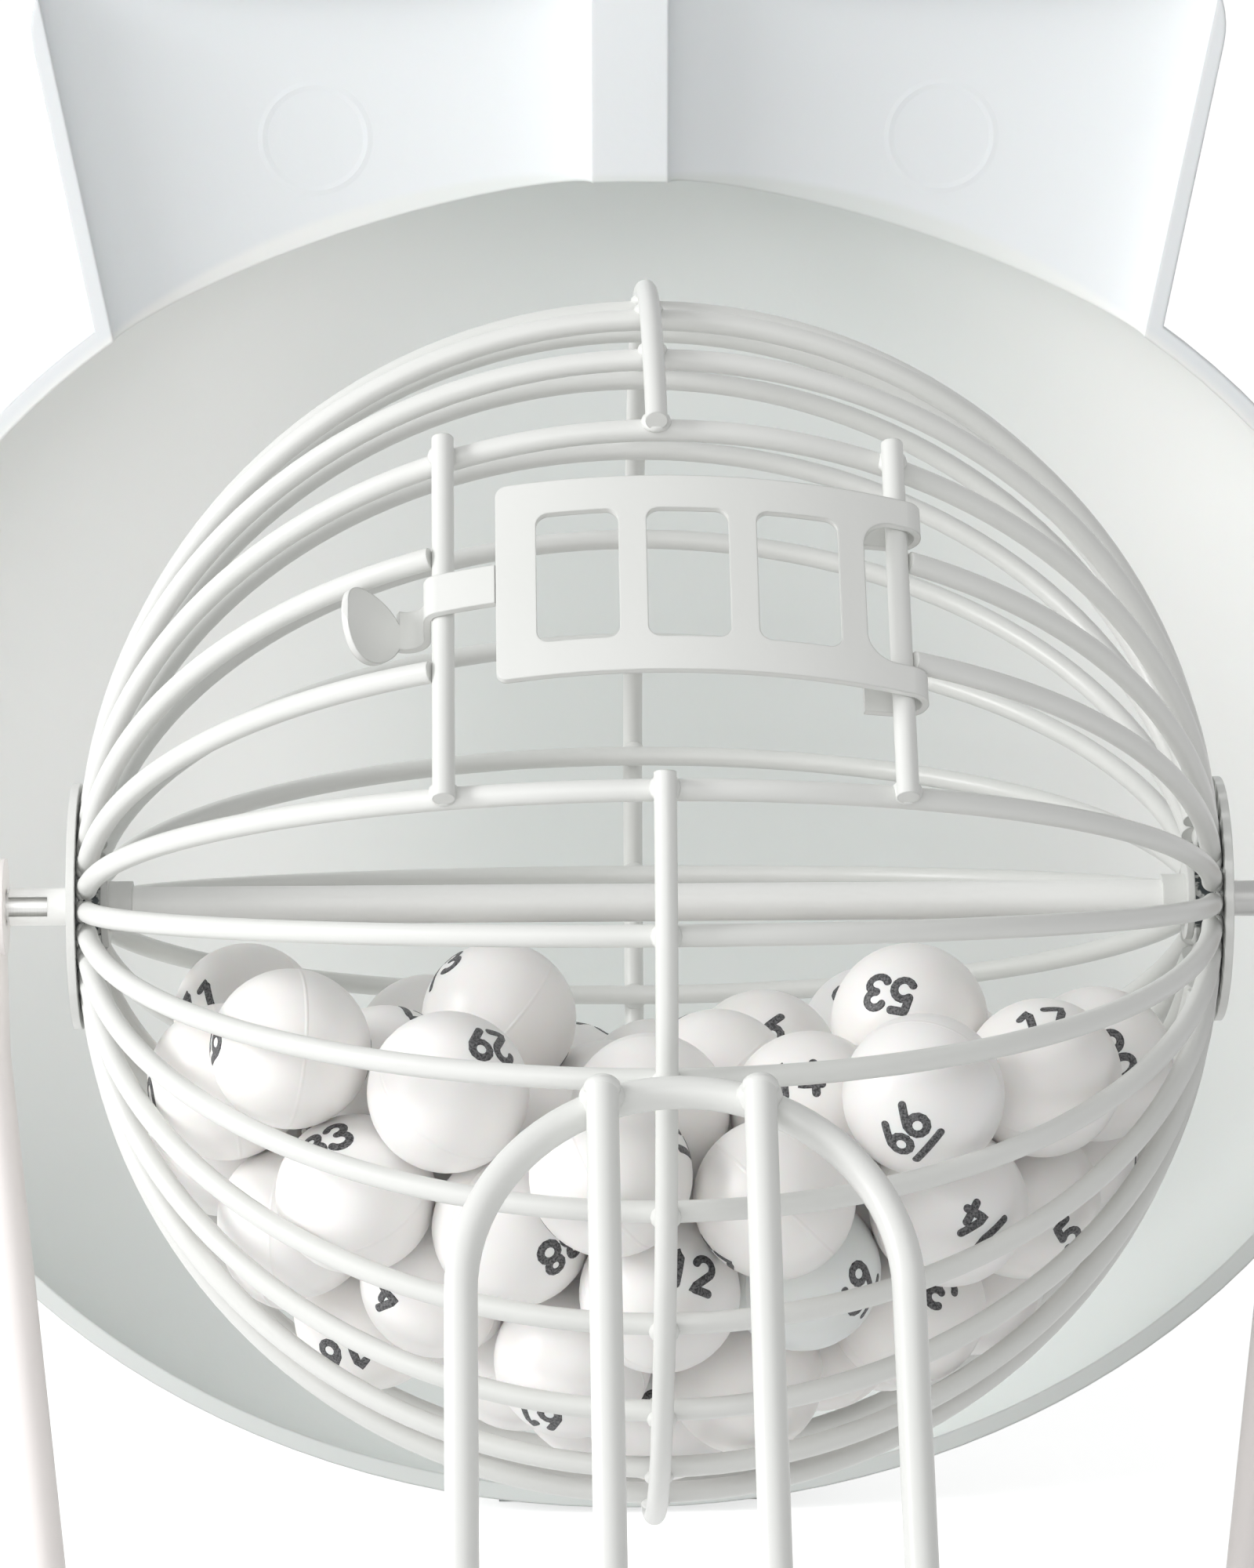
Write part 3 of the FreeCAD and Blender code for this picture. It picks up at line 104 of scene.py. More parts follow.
def piece(
    name: str,
    vertices: np.ndarray,
    faces: list[list[int]],
    **attributes: np.ndarray,
) -> bpy.types.Object:
    """Makes a smooth piece with its faces outwards and its place in its mesh.

    Args:
        name: The piece's name.
        vertices: Its points, in metres.
        faces: Its faces.
        attributes: One number for each point, for its material to read.

    Returns:
        The new object.
    """
    mesh = bpy.data.meshes.new(name)
    mesh.from_pydata(vertices.tolist(), [], faces)
    for key, values in attributes.items():
        layer = mesh.attributes.new(key, "FLOAT", "POINT")
        layer.data.foreach_set("value", np.ascontiguousarray(values, dtype=np.float32))
    shell = bmesh.new()
    shell.from_mesh(mesh)
    bmesh.ops.recalc_face_normals(shell, faces=shell.faces)
    shell.to_mesh(mesh)
    shell.free()
    mesh.polygons.foreach_set("use_smooth", np.ones(len(mesh.polygons), bool))
    made = bpy.data.objects.new(name, mesh)
    bpy.context.scene.collection.objects.link(made)
    return made


def round_shell(rows: int, columns: int) -> np.ndarray:
    """Gives a ball of radius 1: (sin u cos v, sin u sin v, cos u).

    Args:
        rows: Rows of points from pole to pole.
        columns: Points in each row.

    Returns:
        Array of shape (rows, columns, 3).
    """
    u = np.linspace(0.0, math.pi, rows)[:, None]
    v = np.linspace(0.0, 2.0 * math.pi, columns, endpoint=False)[None, :]
    return np.stack([np.sin(u) * np.cos(v), np.sin(u) * np.sin(v), np.cos(u) + 0.0 * v], -1)


def unit(vector: np.ndarray) -> np.ndarray:
    """Scales vectors to length 1."""
    return vector / np.linalg.norm(vector, axis=-1, keepdims=True)


# ---------------------------------------------------------------- finishes


class NodeDesk:
    """Adds and links the nodes of one tree."""

    def __init__(self, tree: bpy.types.NodeTree) -> None:
        """Keeps the tree to work on."""
        self.tree = tree

    def add(self, kind: str, **settings: object) -> bpy.types.Node:
        """Adds a node.

        Args:
            kind: Its type, without "ShaderNode" for a shader node.
            settings: Its properties, and its inputs by name with _ for a space.

        Returns:
            The node.
        """
        full = kind if kind.startswith("Node") else f"ShaderNode{kind}"
        made = self.tree.nodes.new(full)
        for key, value in settings.items():
            if hasattr(made, key):
                setattr(made, key, value)
            else:
                self.put(value, made.inputs[key.replace("_", " ")])
        return made

    def put(self, value: object, socket: bpy.types.NodeSocket) -> None:
        """Links a socket to an input, or sets the input to a plain value.

        Args:
            value: The socket or the value.
            socket: The input.
        """
        if isinstance(value, bpy.types.NodeSocket):
            self.tree.links.new(value, socket)
        else:
            socket.default_value = value

    def math(self, operation: str, *values: object) -> bpy.types.NodeSocket:
        """Adds a Math node.

        Args:
            operation: What it works out.
            values: A socket or a plain number for each input.

        Returns:
            Its output.
        """
        made = self.tree.nodes.new("ShaderNodeMath")
        made.operation = operation
        for index, value in enumerate(values):
            self.put(value, made.inputs[index])
        return made.outputs[0]

    def noise(self, place: object, scale: object, detail: float) -> bpy.types.NodeSocket:
        """Adds a Noise Texture over object coordinates and returns its factor."""
        made = self.add("TexNoise", Vector=place, Scale=scale, Detail=detail)
        return made.outputs["Fac"]

    def blend(self, factor: object, low: object, high: object) -> bpy.types.NodeSocket:
        """Mixes two colours.

        Args:
            factor: How much of the second there is, 0 to 1.
            low: The first.
            high: The second.

        Returns:
            The mixture.
        """
        made = self.tree.nodes.new("ShaderNodeMix")
        made.data_type = "RGBA"
        self.put(factor, made.inputs["Factor"])
        self.put(low, made.inputs["A"])
        self.put(high, made.inputs["B"])
        return made.outputs["Result"]

    def ramp(self, value: object, low: float, high: float) -> bpy.types.NodeSocket:
        """Maps low..high smoothly to 0..1.

        Args:
            value: The socket to map.
            low: Where it gives 0.
            high: Where it gives 1.

        Returns:
            The mapped value.
        """
        made = self.add("MapRange", interpolation_type="SMOOTHSTEP", Value=value)
        made.inputs["From Min"].default_value = low
        made.inputs["From Max"].default_value = high
        return made.outputs["Result"]


# Noise values at which a cloud and a turning mark begin and are full.
CLOUD_EDGES: Span = (0.3, 0.7)
RING_EDGES: Span = (0.35, 0.65)


class NodeGroups:
    """Shader groups that several finishes share."""

    def __init__(self) -> None:
        """Builds each group once."""
        self.skin = self._group(
            "fine_skin",
            [("Colour", "Color"), ("Cloud colour", "Color"), ("Cloud size", "Float"),
             ("Grain size", "Float"), ("Grain depth", "Float"), ("Roughness", "Float"),
             ("Roughness spread", "Float"), ("Height", "Float"), ("Edge", "Float")],
            [("Colour", "Color"), ("Roughness", "Float"), ("Normal", "Vector")],
            self._fill_skin,
        )
        self.ring_mark = self._group(
            "ring_mark",
            [("X", "Float"), ("Z", "Float"), ("Radius", "Float"), ("Width", "Float")],
            [("Mask", "Float")],
            self._fill_ring_mark,
        )
        self.turning = self._group(
            "turning_marks",
            [("Pitch", "Float"), ("Amount", "Float")],
            [("Height", "Float"), ("Tone", "Float")],
            self._fill_turning,
        )

    def _group(
        self,
        name: str,
        inputs: list[tuple[str, str]],
        outputs: list[tuple[str, str]],
        fill: Callable[[NodeDesk, bpy.types.Node, bpy.types.Node], None],
    ) -> bpy.types.NodeTree:
        """Makes a shader group and fills it.

        Args:
            name: The group's name.
            inputs: Name and kind of each input.
            outputs: Name and kind of each output.
            fill: Adds the nodes between them.

        Returns:
            The group.
        """
        tree = bpy.data.node_groups.new(name, "ShaderNodeTree")
        for label, kind in inputs:
            tree.interface.new_socket(label, in_out="INPUT", socket_type=f"NodeSocket{kind}")
        for label, kind in outputs:
            tree.interface.new_socket(label, in_out="OUTPUT", socket_type=f"NodeSocket{kind}")
        desk = NodeDesk(tree)
        fill(desk, desk.add("NodeGroupInput"), desk.add("NodeGroupOutput"))
        return tree

    @staticmethod
    def _fill_skin(desk: NodeDesk, given: bpy.types.Node, out: bpy.types.Node) -> None:
        """Clouds the colour, varies the roughness, and raises a fine grain on softened edges.

        Args:
            desk: The group's desk.
            given: The group's input node.
            out: The group's output node.
        """
        take = given.outputs
        place = desk.add("TexCoord").outputs["Object"]
        cloud = desk.noise(place, desk.math("DIVIDE", 1.0, take["Cloud size"]), 3.0)
        cloud = desk.ramp(cloud, *CLOUD_EDGES)
        desk.put(desk.blend(cloud, take["Colour"], take["Cloud colour"]), out.inputs["Colour"])
        grain = desk.noise(place, desk.math("DIVIDE", 1.0, take["Grain size"]), 2.0)
        spread = desk.math("SUBTRACT", grain, 0.5)
        rough = desk.math("MULTIPLY_ADD", spread, take["Roughness spread"], take["Roughness"])
        desk.put(rough, out.inputs["Roughness"])
        height = desk.math("MULTIPLY_ADD", grain, take["Grain depth"], take["Height"])
        soft = desk.add("Bevel", samples=4, Radius=take["Edge"]).outputs["Normal"]
        bump = desk.add("Bump", Height=height, Distance=1.0, Strength=1.0, Normal=soft)
        desk.put(bump.outputs["Normal"], out.inputs["Normal"])

    @staticmethod
    def _fill_ring_mark(desk: NodeDesk, given: bpy.types.Node, out: bpy.types.Node) -> None:
        """Masks a thin ring round (X, Z): 1 where the distance from it is the radius.

        Args:
            desk: The group's desk.
            given: The group's input node.
            out: The group's output node.
        """
        take = given.outputs
        place = desk.add("SeparateXYZ", Vector=desk.add("TexCoord").outputs["Object"]).outputs
        across = desk.math("SUBTRACT", place["X"], take["X"])
        up = desk.math("SUBTRACT", place["Z"], take["Z"])
        square = desk.math("MULTIPLY_ADD", across, across, desk.math("MULTIPLY", up, up))
        off = desk.math("SUBTRACT", desk.math("SQRT", square), take["Radius"])
        near = desk.math("DIVIDE", desk.math("ABSOLUTE", off), take["Width"])
        desk.put(desk.math("MAXIMUM", desk.math("SUBTRACT", 1.0, near), 0.0), out.inputs["Mask"])

    @staticmethod
    def _fill_turning(desk: NodeDesk, given: bpy.types.Node, out: bpy.types.Node) -> None:
        """Cuts fine rings round the X axis, uneven in depth and tone.

        Args:
            desk: The group's desk.
            given: The group's input node.
            out: The group's output node.
        """
        take = given.outputs
        place = desk.add("SeparateXYZ", Vector=desk.add("TexCoord").outputs["Object"]).outputs
        along = desk.math("DIVIDE", place["X"], take["Pitch"])
        line = desk.add("CombineXYZ", X=along).outputs["Vector"]
        rings = desk.noise(line, 1.0, 4.0)
        desk.put(desk.math("MULTIPLY", rings, take["Amount"]), out.inputs["Height"])
        desk.put(desk.ramp(rings, *RING_EDGES), out.inputs["Tone"])


class Extra(Enum):
    """What a finish has besides its skin."""

    NONE = "none"
    TRAY = "tray"
    SEAM = "seam"
    TURNED = "turned"
    # Dark blotches at the wire ends of the hubs: partly bare metal, partly painted shade.
    SCALE = "scale"


class TrayLook:
    """The tray's marks and its painted light and reflection, in metres.

    The two round marks lie MARK_X to each side of the axle and MARK_Z above it. Light is
    painted onto the bowl: darkest at DEEP_X, paler over SIDE away from it and over RISE above
    the ground. The bowl's oval has its middle at MIDDLE_Z, and a painted bluish reflection on
    the trough begins over STEP of it.
    """

    MARK_X = 0.0495
    MARK_Z = 0.0958
    MARK_RADIUS = 0.0083
    MARK_WIDTH = 0.0008
    MARK_HEIGHT = 0.00006
    DEEP_X = 0.012
    SIDE: Span = (0.02, 0.085)
    RISE: Span = (0.025, 0.13)
    MIDDLE_Z = 0.113
    HALF_WIDTH = 0.131
    HALF_HEIGHT = 0.112
    STEP: Span = (0.975, 0.99)
    # Painted light: the paler colour of the bowl to the sides and the top.
    PALE: Quad = (0.96, 0.97, 0.95, 1.0)
    # Painted reflection: the bluish tint of the trough above the bowl's oval.
    TROUGH: Quad = (0.85, 0.88, 0.895, 1.0)
    TROUGH_RISE: Span = (0.15, 0.19)


class BallLook:
    """The balls' moulding seam, in metres, and the warm tone that some have more of."""

    SEAM_WIDTH = 0.00035
    SEAM_HEIGHT = 0.00006
    WARM: Quad = (0.985, 0.965, 0.94, 1.0)
    WARM_SHARE = 0.5


class TurnedLook:
    """Turning marks on bare metal: their pitch and depth, in metres, and their shade."""

    PITCH = 0.00011
    DEPTH = 0.000005
    SHADE = 0.88


class HubLook:
    """Dark blotches at the collars, partly bare metal and partly painted shade of the gaps behind the wire ends:
    distances from the axle's middle and line, in metres.
    """

    INNER: Span = (0.0784, 0.0789)
    OUTER: Span = (0.0816, 0.0818)
    REACH: Span = (0.0145, 0.017)
    SPOT_SCALE = 700.0
    SPOTS: Span = (0.4, 0.52)
    # Painted shade: the dark colour of the blotches, partly bare metal.
    METAL: Quad = (0.09, 0.1, 0.105, 1.0)


@dataclass(frozen=True)
class Finish:
    """One finish: the colours and the skin of a material.

    Sizes are in metres: cloud and grain are the sizes of their features, depth is how far
    the grain stands up, and edge is the radius to which sharp edges look rounded.
    """

    slot: str
    colour: Triple
    cloud_colour: Triple
    roughness: float
    cloud: float = 0.03
    grain: float = 0.0012
    depth: float = 0.00002
    spread: float = 0.1
    edge: float = 0.0003
    metallic: float = 0.0
    coat: float = 0.0
    coat_roughness: float = 0.2
    subsurface: float = 0.0
    subsurface_scale: float = 0.002
    extra: Extra = Extra.NONE

    def material(self, groups: NodeGroups, axle: np.ndarray) -> bpy.types.Material:
        """Builds the material.

        Args:
            groups: The shared shader groups.
            axle: The middle of the axle.

        Returns:
            The material.
        """
        made = bpy.data.materials.new(self.slot)
        made.use_nodes = True
        desk = NodeDesk(made.node_tree)
        shader = made.node_tree.nodes["Principled BSDF"]
        plain = {
            "Metallic": self.metallic,
            "Coat Weight": self.coat,
            "Coat Roughness": self.coat_roughness,
            "Subsurface Weight": self.subsurface,
            "Subsurface Scale": self.subsurface_scale,
        }
        skin = desk.add("Group", node_tree=groups.skin)
        surface = {
            "Colour": (*self.colour, 1.0),
            "Cloud colour": (*self.cloud_colour, 1.0),
            "Cloud size": self.cloud,
            "Grain size": self.grain,
            "Grain depth": self.depth,
            "Roughness": self.roughness,
            "Roughness spread": self.spread,
            "Edge": self.edge,
        }
        for node, values in ((shader, plain), (skin, surface)):
            for key, value in values.items():
                node.inputs[key].default_value = value
        colour = skin.outputs["Colour"]
        if self.extra is Extra.TRAY:
            colour = self._tray_colour(desk, groups, skin, axle)
        elif self.extra is Extra.SEAM:
            colour = self._seam_colour(desk, skin)
        elif self.extra is Extra.TURNED:
            rings = desk.add("Group", node_tree=groups.turning, Pitch=TurnedLook.PITCH,
                             Amount=TurnedLook.DEPTH)
            desk.put(rings.outputs["Height"], skin.inputs["Height"])
            dark = tuple(TurnedLook.SHADE * part for part in self.colour)
            colour = desk.blend(rings.outputs["Tone"], colour, (*dark, 1.0))
        elif self.extra is Extra.SCALE:
            # Painted shade in the gaps at the wire ends, given the look of dark bare metal.
            mask = self._scale_mask(desk, axle)
            colour = desk.blend(mask, colour, HubLook.METAL)
            desk.put(mask, shader.inputs["Metallic"])
        desk.put(colour, shader.inputs["Base Color"])
        desk.put(skin.outputs["Roughness"], shader.inputs["Roughness"])
        desk.put(skin.outputs["Normal"], shader.inputs["Normal"])
        return made

    @staticmethod
    def _seam_colour(desk: NodeDesk, skin: bpy.types.Node) -> bpy.types.NodeSocket:
        """Raises a ball's moulding seam and warms some balls more than others.

        Args:
            desk: The material's desk.
            skin: The skin, whose height takes the seam.

        Returns:
            The colour.
        """
        seam = desk.add("Attribute", attribute_name="seam").outputs["Fac"]
        band = desk.ramp(desk.math("ABSOLUTE", seam), 0.0, BallLook.SEAM_WIDTH)
        ridge = desk.math("SUBTRACT", 1.0, band)
        desk.put(desk.math("MULTIPLY", ridge, BallLook.SEAM_HEIGHT), skin.inputs["Height"])
        tone = desk.add("Attribute", attribute_name="tone").outputs["Fac"]
        warm = desk.blend(desk.math("MULTIPLY", tone, BallLook.WARM_SHARE), WHITE, BallLook.WARM)
        mixed = desk.add("Mix", data_type="RGBA", blend_type="MULTIPLY")
        mixed.inputs["Factor"].default_value = 1.0
        desk.put(skin.outputs["Colour"], mixed.inputs["A"])
        desk.put(warm, mixed.inputs["B"])
        return mixed.outputs["Result"]

    @staticmethod
    def _tray_colour(
        desk: NodeDesk, groups: NodeGroups, skin: bpy.types.Node, axle: np.ndarray
    ) -> bpy.types.NodeSocket:
        """Raises the lane marks, and paints light and a reflection onto the tray.

        Light is painted onto the bowl: grey-green in its middle and painted paler to the sides
        and the top. The trough outside its oval, sqrt((x/a)^2 + (z/b)^2) > 1, gets a painted
        bluish reflection.

        Args:
            desk: The material's desk.
            groups: The shared shader groups.
            skin: The skin, whose height takes the marks.
            axle: The middle of the axle.

        Returns:
            The colour.
        """
        marks = [
            desk.add("Group", node_tree=groups.ring_mark, X=axle[0] + side * TrayLook.MARK_X,
                     Z=axle[2] + TrayLook.MARK_Z, Radius=TrayLook.MARK_RADIUS,
                     Width=TrayLook.MARK_WIDTH)
            for side in SIDES
        ]
        both = desk.math("ADD", marks[0].outputs["Mask"], marks[1].outputs["Mask"])
        desk.put(desk.math("MULTIPLY", both, TrayLook.MARK_HEIGHT), skin.inputs["Height"])
        # Painted light: the bowl is painted paler away from DEEP_X and higher up.
        place = desk.add("SeparateXYZ", Vector=desk.add("TexCoord").outputs["Object"]).outputs
        x = desk.math("SUBTRACT", place["X"], axle[0])
        aside = desk.math("ABSOLUTE", desk.math("SUBTRACT", x, TrayLook.DEEP_X))
        aside = desk.ramp(aside, *TrayLook.SIDE)
        above = desk.ramp(place["Z"], *TrayLook.RISE)
        painted_pale = desk.blend(desk.math("MULTIPLY", aside, above), skin.outputs["Colour"],
                          TrayLook.PALE)
        # Painted reflection: a bluish tint on the trough, outside the bowl's oval.
        across = desk.math("DIVIDE", x, TrayLook.HALF_WIDTH)
        up = desk.math("DIVIDE", desk.math("SUBTRACT", place["Z"], TrayLook.MIDDLE_Z),
                       TrayLook.HALF_HEIGHT)
        square = desk.math("MULTIPLY_ADD", across, across, desk.math("MULTIPLY", up, up))
        outside = desk.ramp(desk.math("SQRT", square), *TrayLook.STEP)
        outside = desk.math("MULTIPLY", outside, desk.ramp(place["Z"], *TrayLook.TROUGH_RISE))
        return desk.blend(outside, painted_pale, TrayLook.TROUGH)

    @staticmethod
    def _scale_mask(desk: NodeDesk, axle: np.ndarray) -> bpy.types.NodeSocket:
        """Masks dark blotches round the collars: partly bare metal, partly painted shade of the gaps behind the
        wire ends.

        They lie between two distances from the middle of the axle, and near its line.

        Args:
            desk: The material's desk.
            axle: The middle of the axle.

        Returns:
            The mask: 1 on the dark blotches.
        """
        place = desk.add("TexCoord").outputs["Object"]
        away = desk.add("VectorMath", operation="SUBTRACT")
        desk.put(place, away.inputs[0])
        away.inputs[1].default_value = axle
        parts = desk.add("SeparateXYZ", Vector=away.outputs["Vector"]).outputs
        off = desk.math("ABSOLUTE", parts["X"])
        high = desk.math("MULTIPLY", parts["Z"], parts["Z"])
        square = desk.math("MULTIPLY_ADD", parts["Y"], parts["Y"], high)
        far = desk.ramp(desk.math("SQRT", square), *HubLook.REACH)
        near = desk.math("SUBTRACT", 1.0, far)
        inner = desk.ramp(off, *HubLook.INNER)
        outer = desk.math("SUBTRACT", 1.0, desk.ramp(off, *HubLook.OUTER))
        spots = desk.ramp(desk.noise(place, HubLook.SPOT_SCALE, 3.0), *HubLook.SPOTS)
        band = desk.math("MULTIPLY", desk.math("MULTIPLY", inner, outer), near)
        return desk.math("MULTIPLY", band, spots)


WIRE_COATING = Finish(
    "white_coating", (0.78, 0.785, 0.765), (0.755, 0.765, 0.74), 0.36,
    cloud=0.04, grain=0.0011, depth=0.000022, edge=0.00035, coat=0.15, coat_roughness=0.3,
)
BARE_STEEL = Finish(
    "bare_steel", (0.44, 0.44, 0.43), (0.38, 0.38, 0.375), 0.34,
    cloud=0.006, grain=0.0004, depth=0.000008, edge=0.00025, metallic=1.0, extra=Extra.TURNED,
)
FINISHES = (
    WIRE_COATING,
    Finish("easel_coating", (0.80, 0.80, 0.78), (0.77, 0.775, 0.75), 0.4,
           cloud=0.05, grain=0.0011, depth=0.000022, edge=0.00035),
    BARE_STEEL,
    Finish("bush_bronze", (0.5, 0.38, 0.22), (0.42, 0.31, 0.18), 0.4,
           cloud=0.004, grain=0.0003, depth=0.00001, edge=0.0002, metallic=1.0),
    Finish("tray_plastic", (0.805, 0.835, 0.82), (0.785, 0.82, 0.80), 0.55,
           cloud=0.09, grain=0.0007, depth=0.000018, spread=0.12, edge=0.0007,
           subsurface=0.05, extra=Extra.TRAY),
    Finish("ball_plastic", (0.97, 0.96, 0.95), (0.955, 0.94, 0.925), 0.34,
           cloud=0.008, grain=0.0009, depth=0.000012, edge=0.0, subsurface=0.15,
           extra=Extra.SEAM),
    Finish("grip_plastic", (0.85, 0.85, 0.83), (0.82, 0.82, 0.8), 0.5,
           cloud=0.01, grain=0.0006, depth=0.00002, edge=0.0005, subsurface=0.05),
    Finish("rubber", (0.7, 0.7, 0.68), (0.64, 0.64, 0.62), 0.7,
           cloud=0.01, grain=0.0005, depth=0.00004, spread=0.15, edge=0.0005),
)
SPECIAL = (
    Finish("ink", (0.018, 0.018, 0.02), (0.16, 0.16, 0.165), 0.5,
           cloud=0.0003, grain=0.0003, depth=0.000006, edge=0.0),
    # A lighter, pinker copy of the wire coating for the posts: painted light, and a painted pink tint of their
    # shade.
    replace(WIRE_COATING, slot="warm_coating", colour=(0.90, 0.855, 0.835),
            cloud_colour=(0.88, 0.835, 0.82), roughness=0.38, cloud=0.05, coat=0.1),
    # A lighter copy of the wire coating for the axle tube: painted light where the cage shades the tube.
    replace(WIRE_COATING, slot="pale_coating", colour=(0.92, 0.925, 0.905),
            cloud_colour=(0.895, 0.90, 0.88)),
    # A lighter copy of the bare steel for the pin at the left: painted light.
    replace(BARE_STEEL, slot="bright_steel", colour=(0.68, 0.68, 0.665),
            cloud_colour=(0.61, 0.61, 0.60), roughness=0.36),
    # The hubs' coating, with painted shade in the gaps at the wire ends.
    replace(WIRE_COATING, slot="hub_coating", grain=0.0007, depth=0.00005, edge=0.0003,
            coat=0.0, coat_roughness=0.2, extra=Extra.SCALE),
)
OWN_FINISH = {
    # Painted light: the tube takes a lighter copy of the wire coating.
    "axle_tube": "pale_coating",
    # Painted light: the pin takes a lighter copy of the bare steel.
    "pivot_pin": "bright_steel",
    # Painted light: the posts take a lighter, pinker copy of the wire coating.
    "post_left": "warm_coating",
    "post_right": "warm_coating",
    "hub_collar_left": "hub_coating",
    "hub_collar_right": "hub_coating",
    "hub_disc_left": "hub_coating",
    "hub_disc_right": "hub_coating",
}


# ---------------------------------------------------------------- camera


@dataclass(frozen=True)
class Viewpoint:
    """The camera: it looks at the axle from in front and above.

    Angles are in degrees, the distance in metres, lens and sensor in millimetres, and the
    axle's middle shows at middle_x, middle_y in pixels of the image.
    """

    target: np.ndarray
    azimuth: float = 1.6
    elevation: float = 15.0
    distance: float = 0.855
    lens: float = 135.99
    sensor: float = 36.0
    middle_x: float = 827.0
    middle_y: float = 1151.0

    @property
    def axes(self) -> tuple[np.ndarray, np.ndarray, np.ndarray]:
        """Gives right, up and forward of the camera.

        Forward is (sin azimuth cos elevation, cos azimuth cos elevation, -sin elevation).

        Returns:
            Three directions of length 1.
        """
        turn = math.radians(self.azimuth)
        rise = math.radians(self.elevation)
        forward = np.array(
            [math.sin(turn) * math.cos(rise), math.cos(turn) * math.cos(rise), -math.sin(rise)]
        )
        right = np.array([math.cos(turn), -math.sin(turn), 0.0])
        return right, np.cross(right, forward), forward

    @property
    def place(self) -> np.ndarray:
        """Where the camera stands."""
        return self.target - self.axes[2] * self.distance

    @property
    def pixels(self) -> float:
        """Focal length in pixels of the image's height."""
        return self.lens / self.sensor * IMAGE_HEIGHT

    def seen(self, points: np.ndarray) -> np.ndarray:
        """Gives each point's image place and its distance.

        Args:
            points: Array of shape (n, 3).

        Returns:
            Array of shape (n, 3): pixel across, pixel down, distance.
        """
        right, up, forward = self.axes
        away = points - self.place
        deep = away @ forward
        across = self.middle_x + self.pixels * (away @ right) / deep
        down = self.middle_y - self.pixels * (away @ up) / deep
        return np.stack([across, down, deep], -1)

    def build(self) -> None:
        """Makes the camera and sets it."""
        data = bpy.data.cameras.new("camera")
        data.lens = self.lens
        data.sensor_width = self.sensor
        data.sensor_fit = "AUTO"
        data.shift_x = -(self.middle_x - IMAGE_WIDTH / 2) / IMAGE_HEIGHT
        data.shift_y = (self.middle_y - IMAGE_HEIGHT / 2) / IMAGE_HEIGHT
        data.clip_start = 0.01
        data.clip_end = 20.0
        camera = bpy.data.objects.new("camera", data)
        camera.location = Vector(self.place)
        camera.rotation_mode = "QUATERNION"
        camera.rotation_quaternion = Vector(self.axes[2]).to_track_quat("-Z", "Y")
        bpy.context.scene.collection.objects.link(camera)
        bpy.context.scene.camera = camera


# ---------------------------------------------------------------- balls


# Points on each straight line and on each arc of a stroke.
LINE_POINTS = 7
ARC_POINTS = 13


def stroke(*runs: tuple[float, ...]) -> np.ndarray:
    """Joins runs into one pen stroke.

    A run of four numbers is a straight line x0, y0 to x1, y1. A run of six is an arc round
    x, y with radii a, b, from one angle to another: (x + a cos t, y + b sin t).

    Args:
        runs: The runs in writing order.

    Returns:
        Points of the stroke, evenly many on each run.
    """
    parts = []
    for run in runs:
        if len(run) == 4:
            s = np.linspace(0.0, 1.0, LINE_POINTS)[:, None]
            parts.append((1.0 - s) * np.array(run[:2]) + s * np.array(run[2:]))
        else:
            x, y, a, b, start, stop = run
            t = np.radians(np.linspace(start, stop, ARC_POINTS))
            parts.append(np.stack([x + a * np.cos(t), y + b * np.sin(t)], -1))
    return np.concatenate(parts)


# Each digit is 1 high and stands in a box 0.6 wide.
DIGITS = {
    "0": [stroke((0.3, 0.5, 0.27, 0.45, 90, 270), (0.3, 0.5, 0.27, 0.45, 270, 450))],
    "1": [stroke((0.08, 0.74, 0.34, 0.95), (0.34, 0.95, 0.34, 0.05))],
    "2": [stroke((0.3, 0.69, 0.25, 0.26, 165, -30), (0.51, 0.55, 0.06, 0.05),
                 (0.06, 0.05, 0.57, 0.05))],
    "3": [stroke((0.28, 0.73, 0.24, 0.22, 155, -90)), stroke((0.28, 0.28, 0.27, 0.23, 90, -155))],
    "4": [stroke((0.4, 0.95, 0.04, 0.3), (0.04, 0.3, 0.6, 0.3)), stroke((0.44, 0.62, 0.44, 0.05))],
    "5": [stroke((0.52, 0.95, 0.14, 0.95), (0.14, 0.95, 0.09, 0.54)),
          stroke((0.28, 0.33, 0.26, 0.28, 135, -145))],
    "6": [stroke((0.46, 0.95, 0.1, 0.5), (0.3, 0.3, 0.25, 0.25, 150, 510))],
    "7": [stroke((0.05, 0.95, 0.56, 0.95), (0.56, 0.95, 0.2, 0.05))],
    "8": [stroke((0.3, 0.74, 0.21, 0.21, -90, 270)), stroke((0.3, 0.28, 0.26, 0.25, 90, 450))],
    "9": [stroke((0.14, 0.05, 0.5, 0.5), (0.3, 0.7, 0.25, 0.25, -30, 330))],
}
UNDERLINE = stroke((0.05, -0.3, 0.55, -0.3))
DIGIT_WIDTH = 0.6
DIGIT_ADVANCE = 0.74
TWO_WAY_DIGITS = set("069")


@dataclass(frozen=True)
class Print:
    """A number that one ball in view turns to the front: its image place and its turn."""

    across: float
    down: float
    number: int
    turn: float


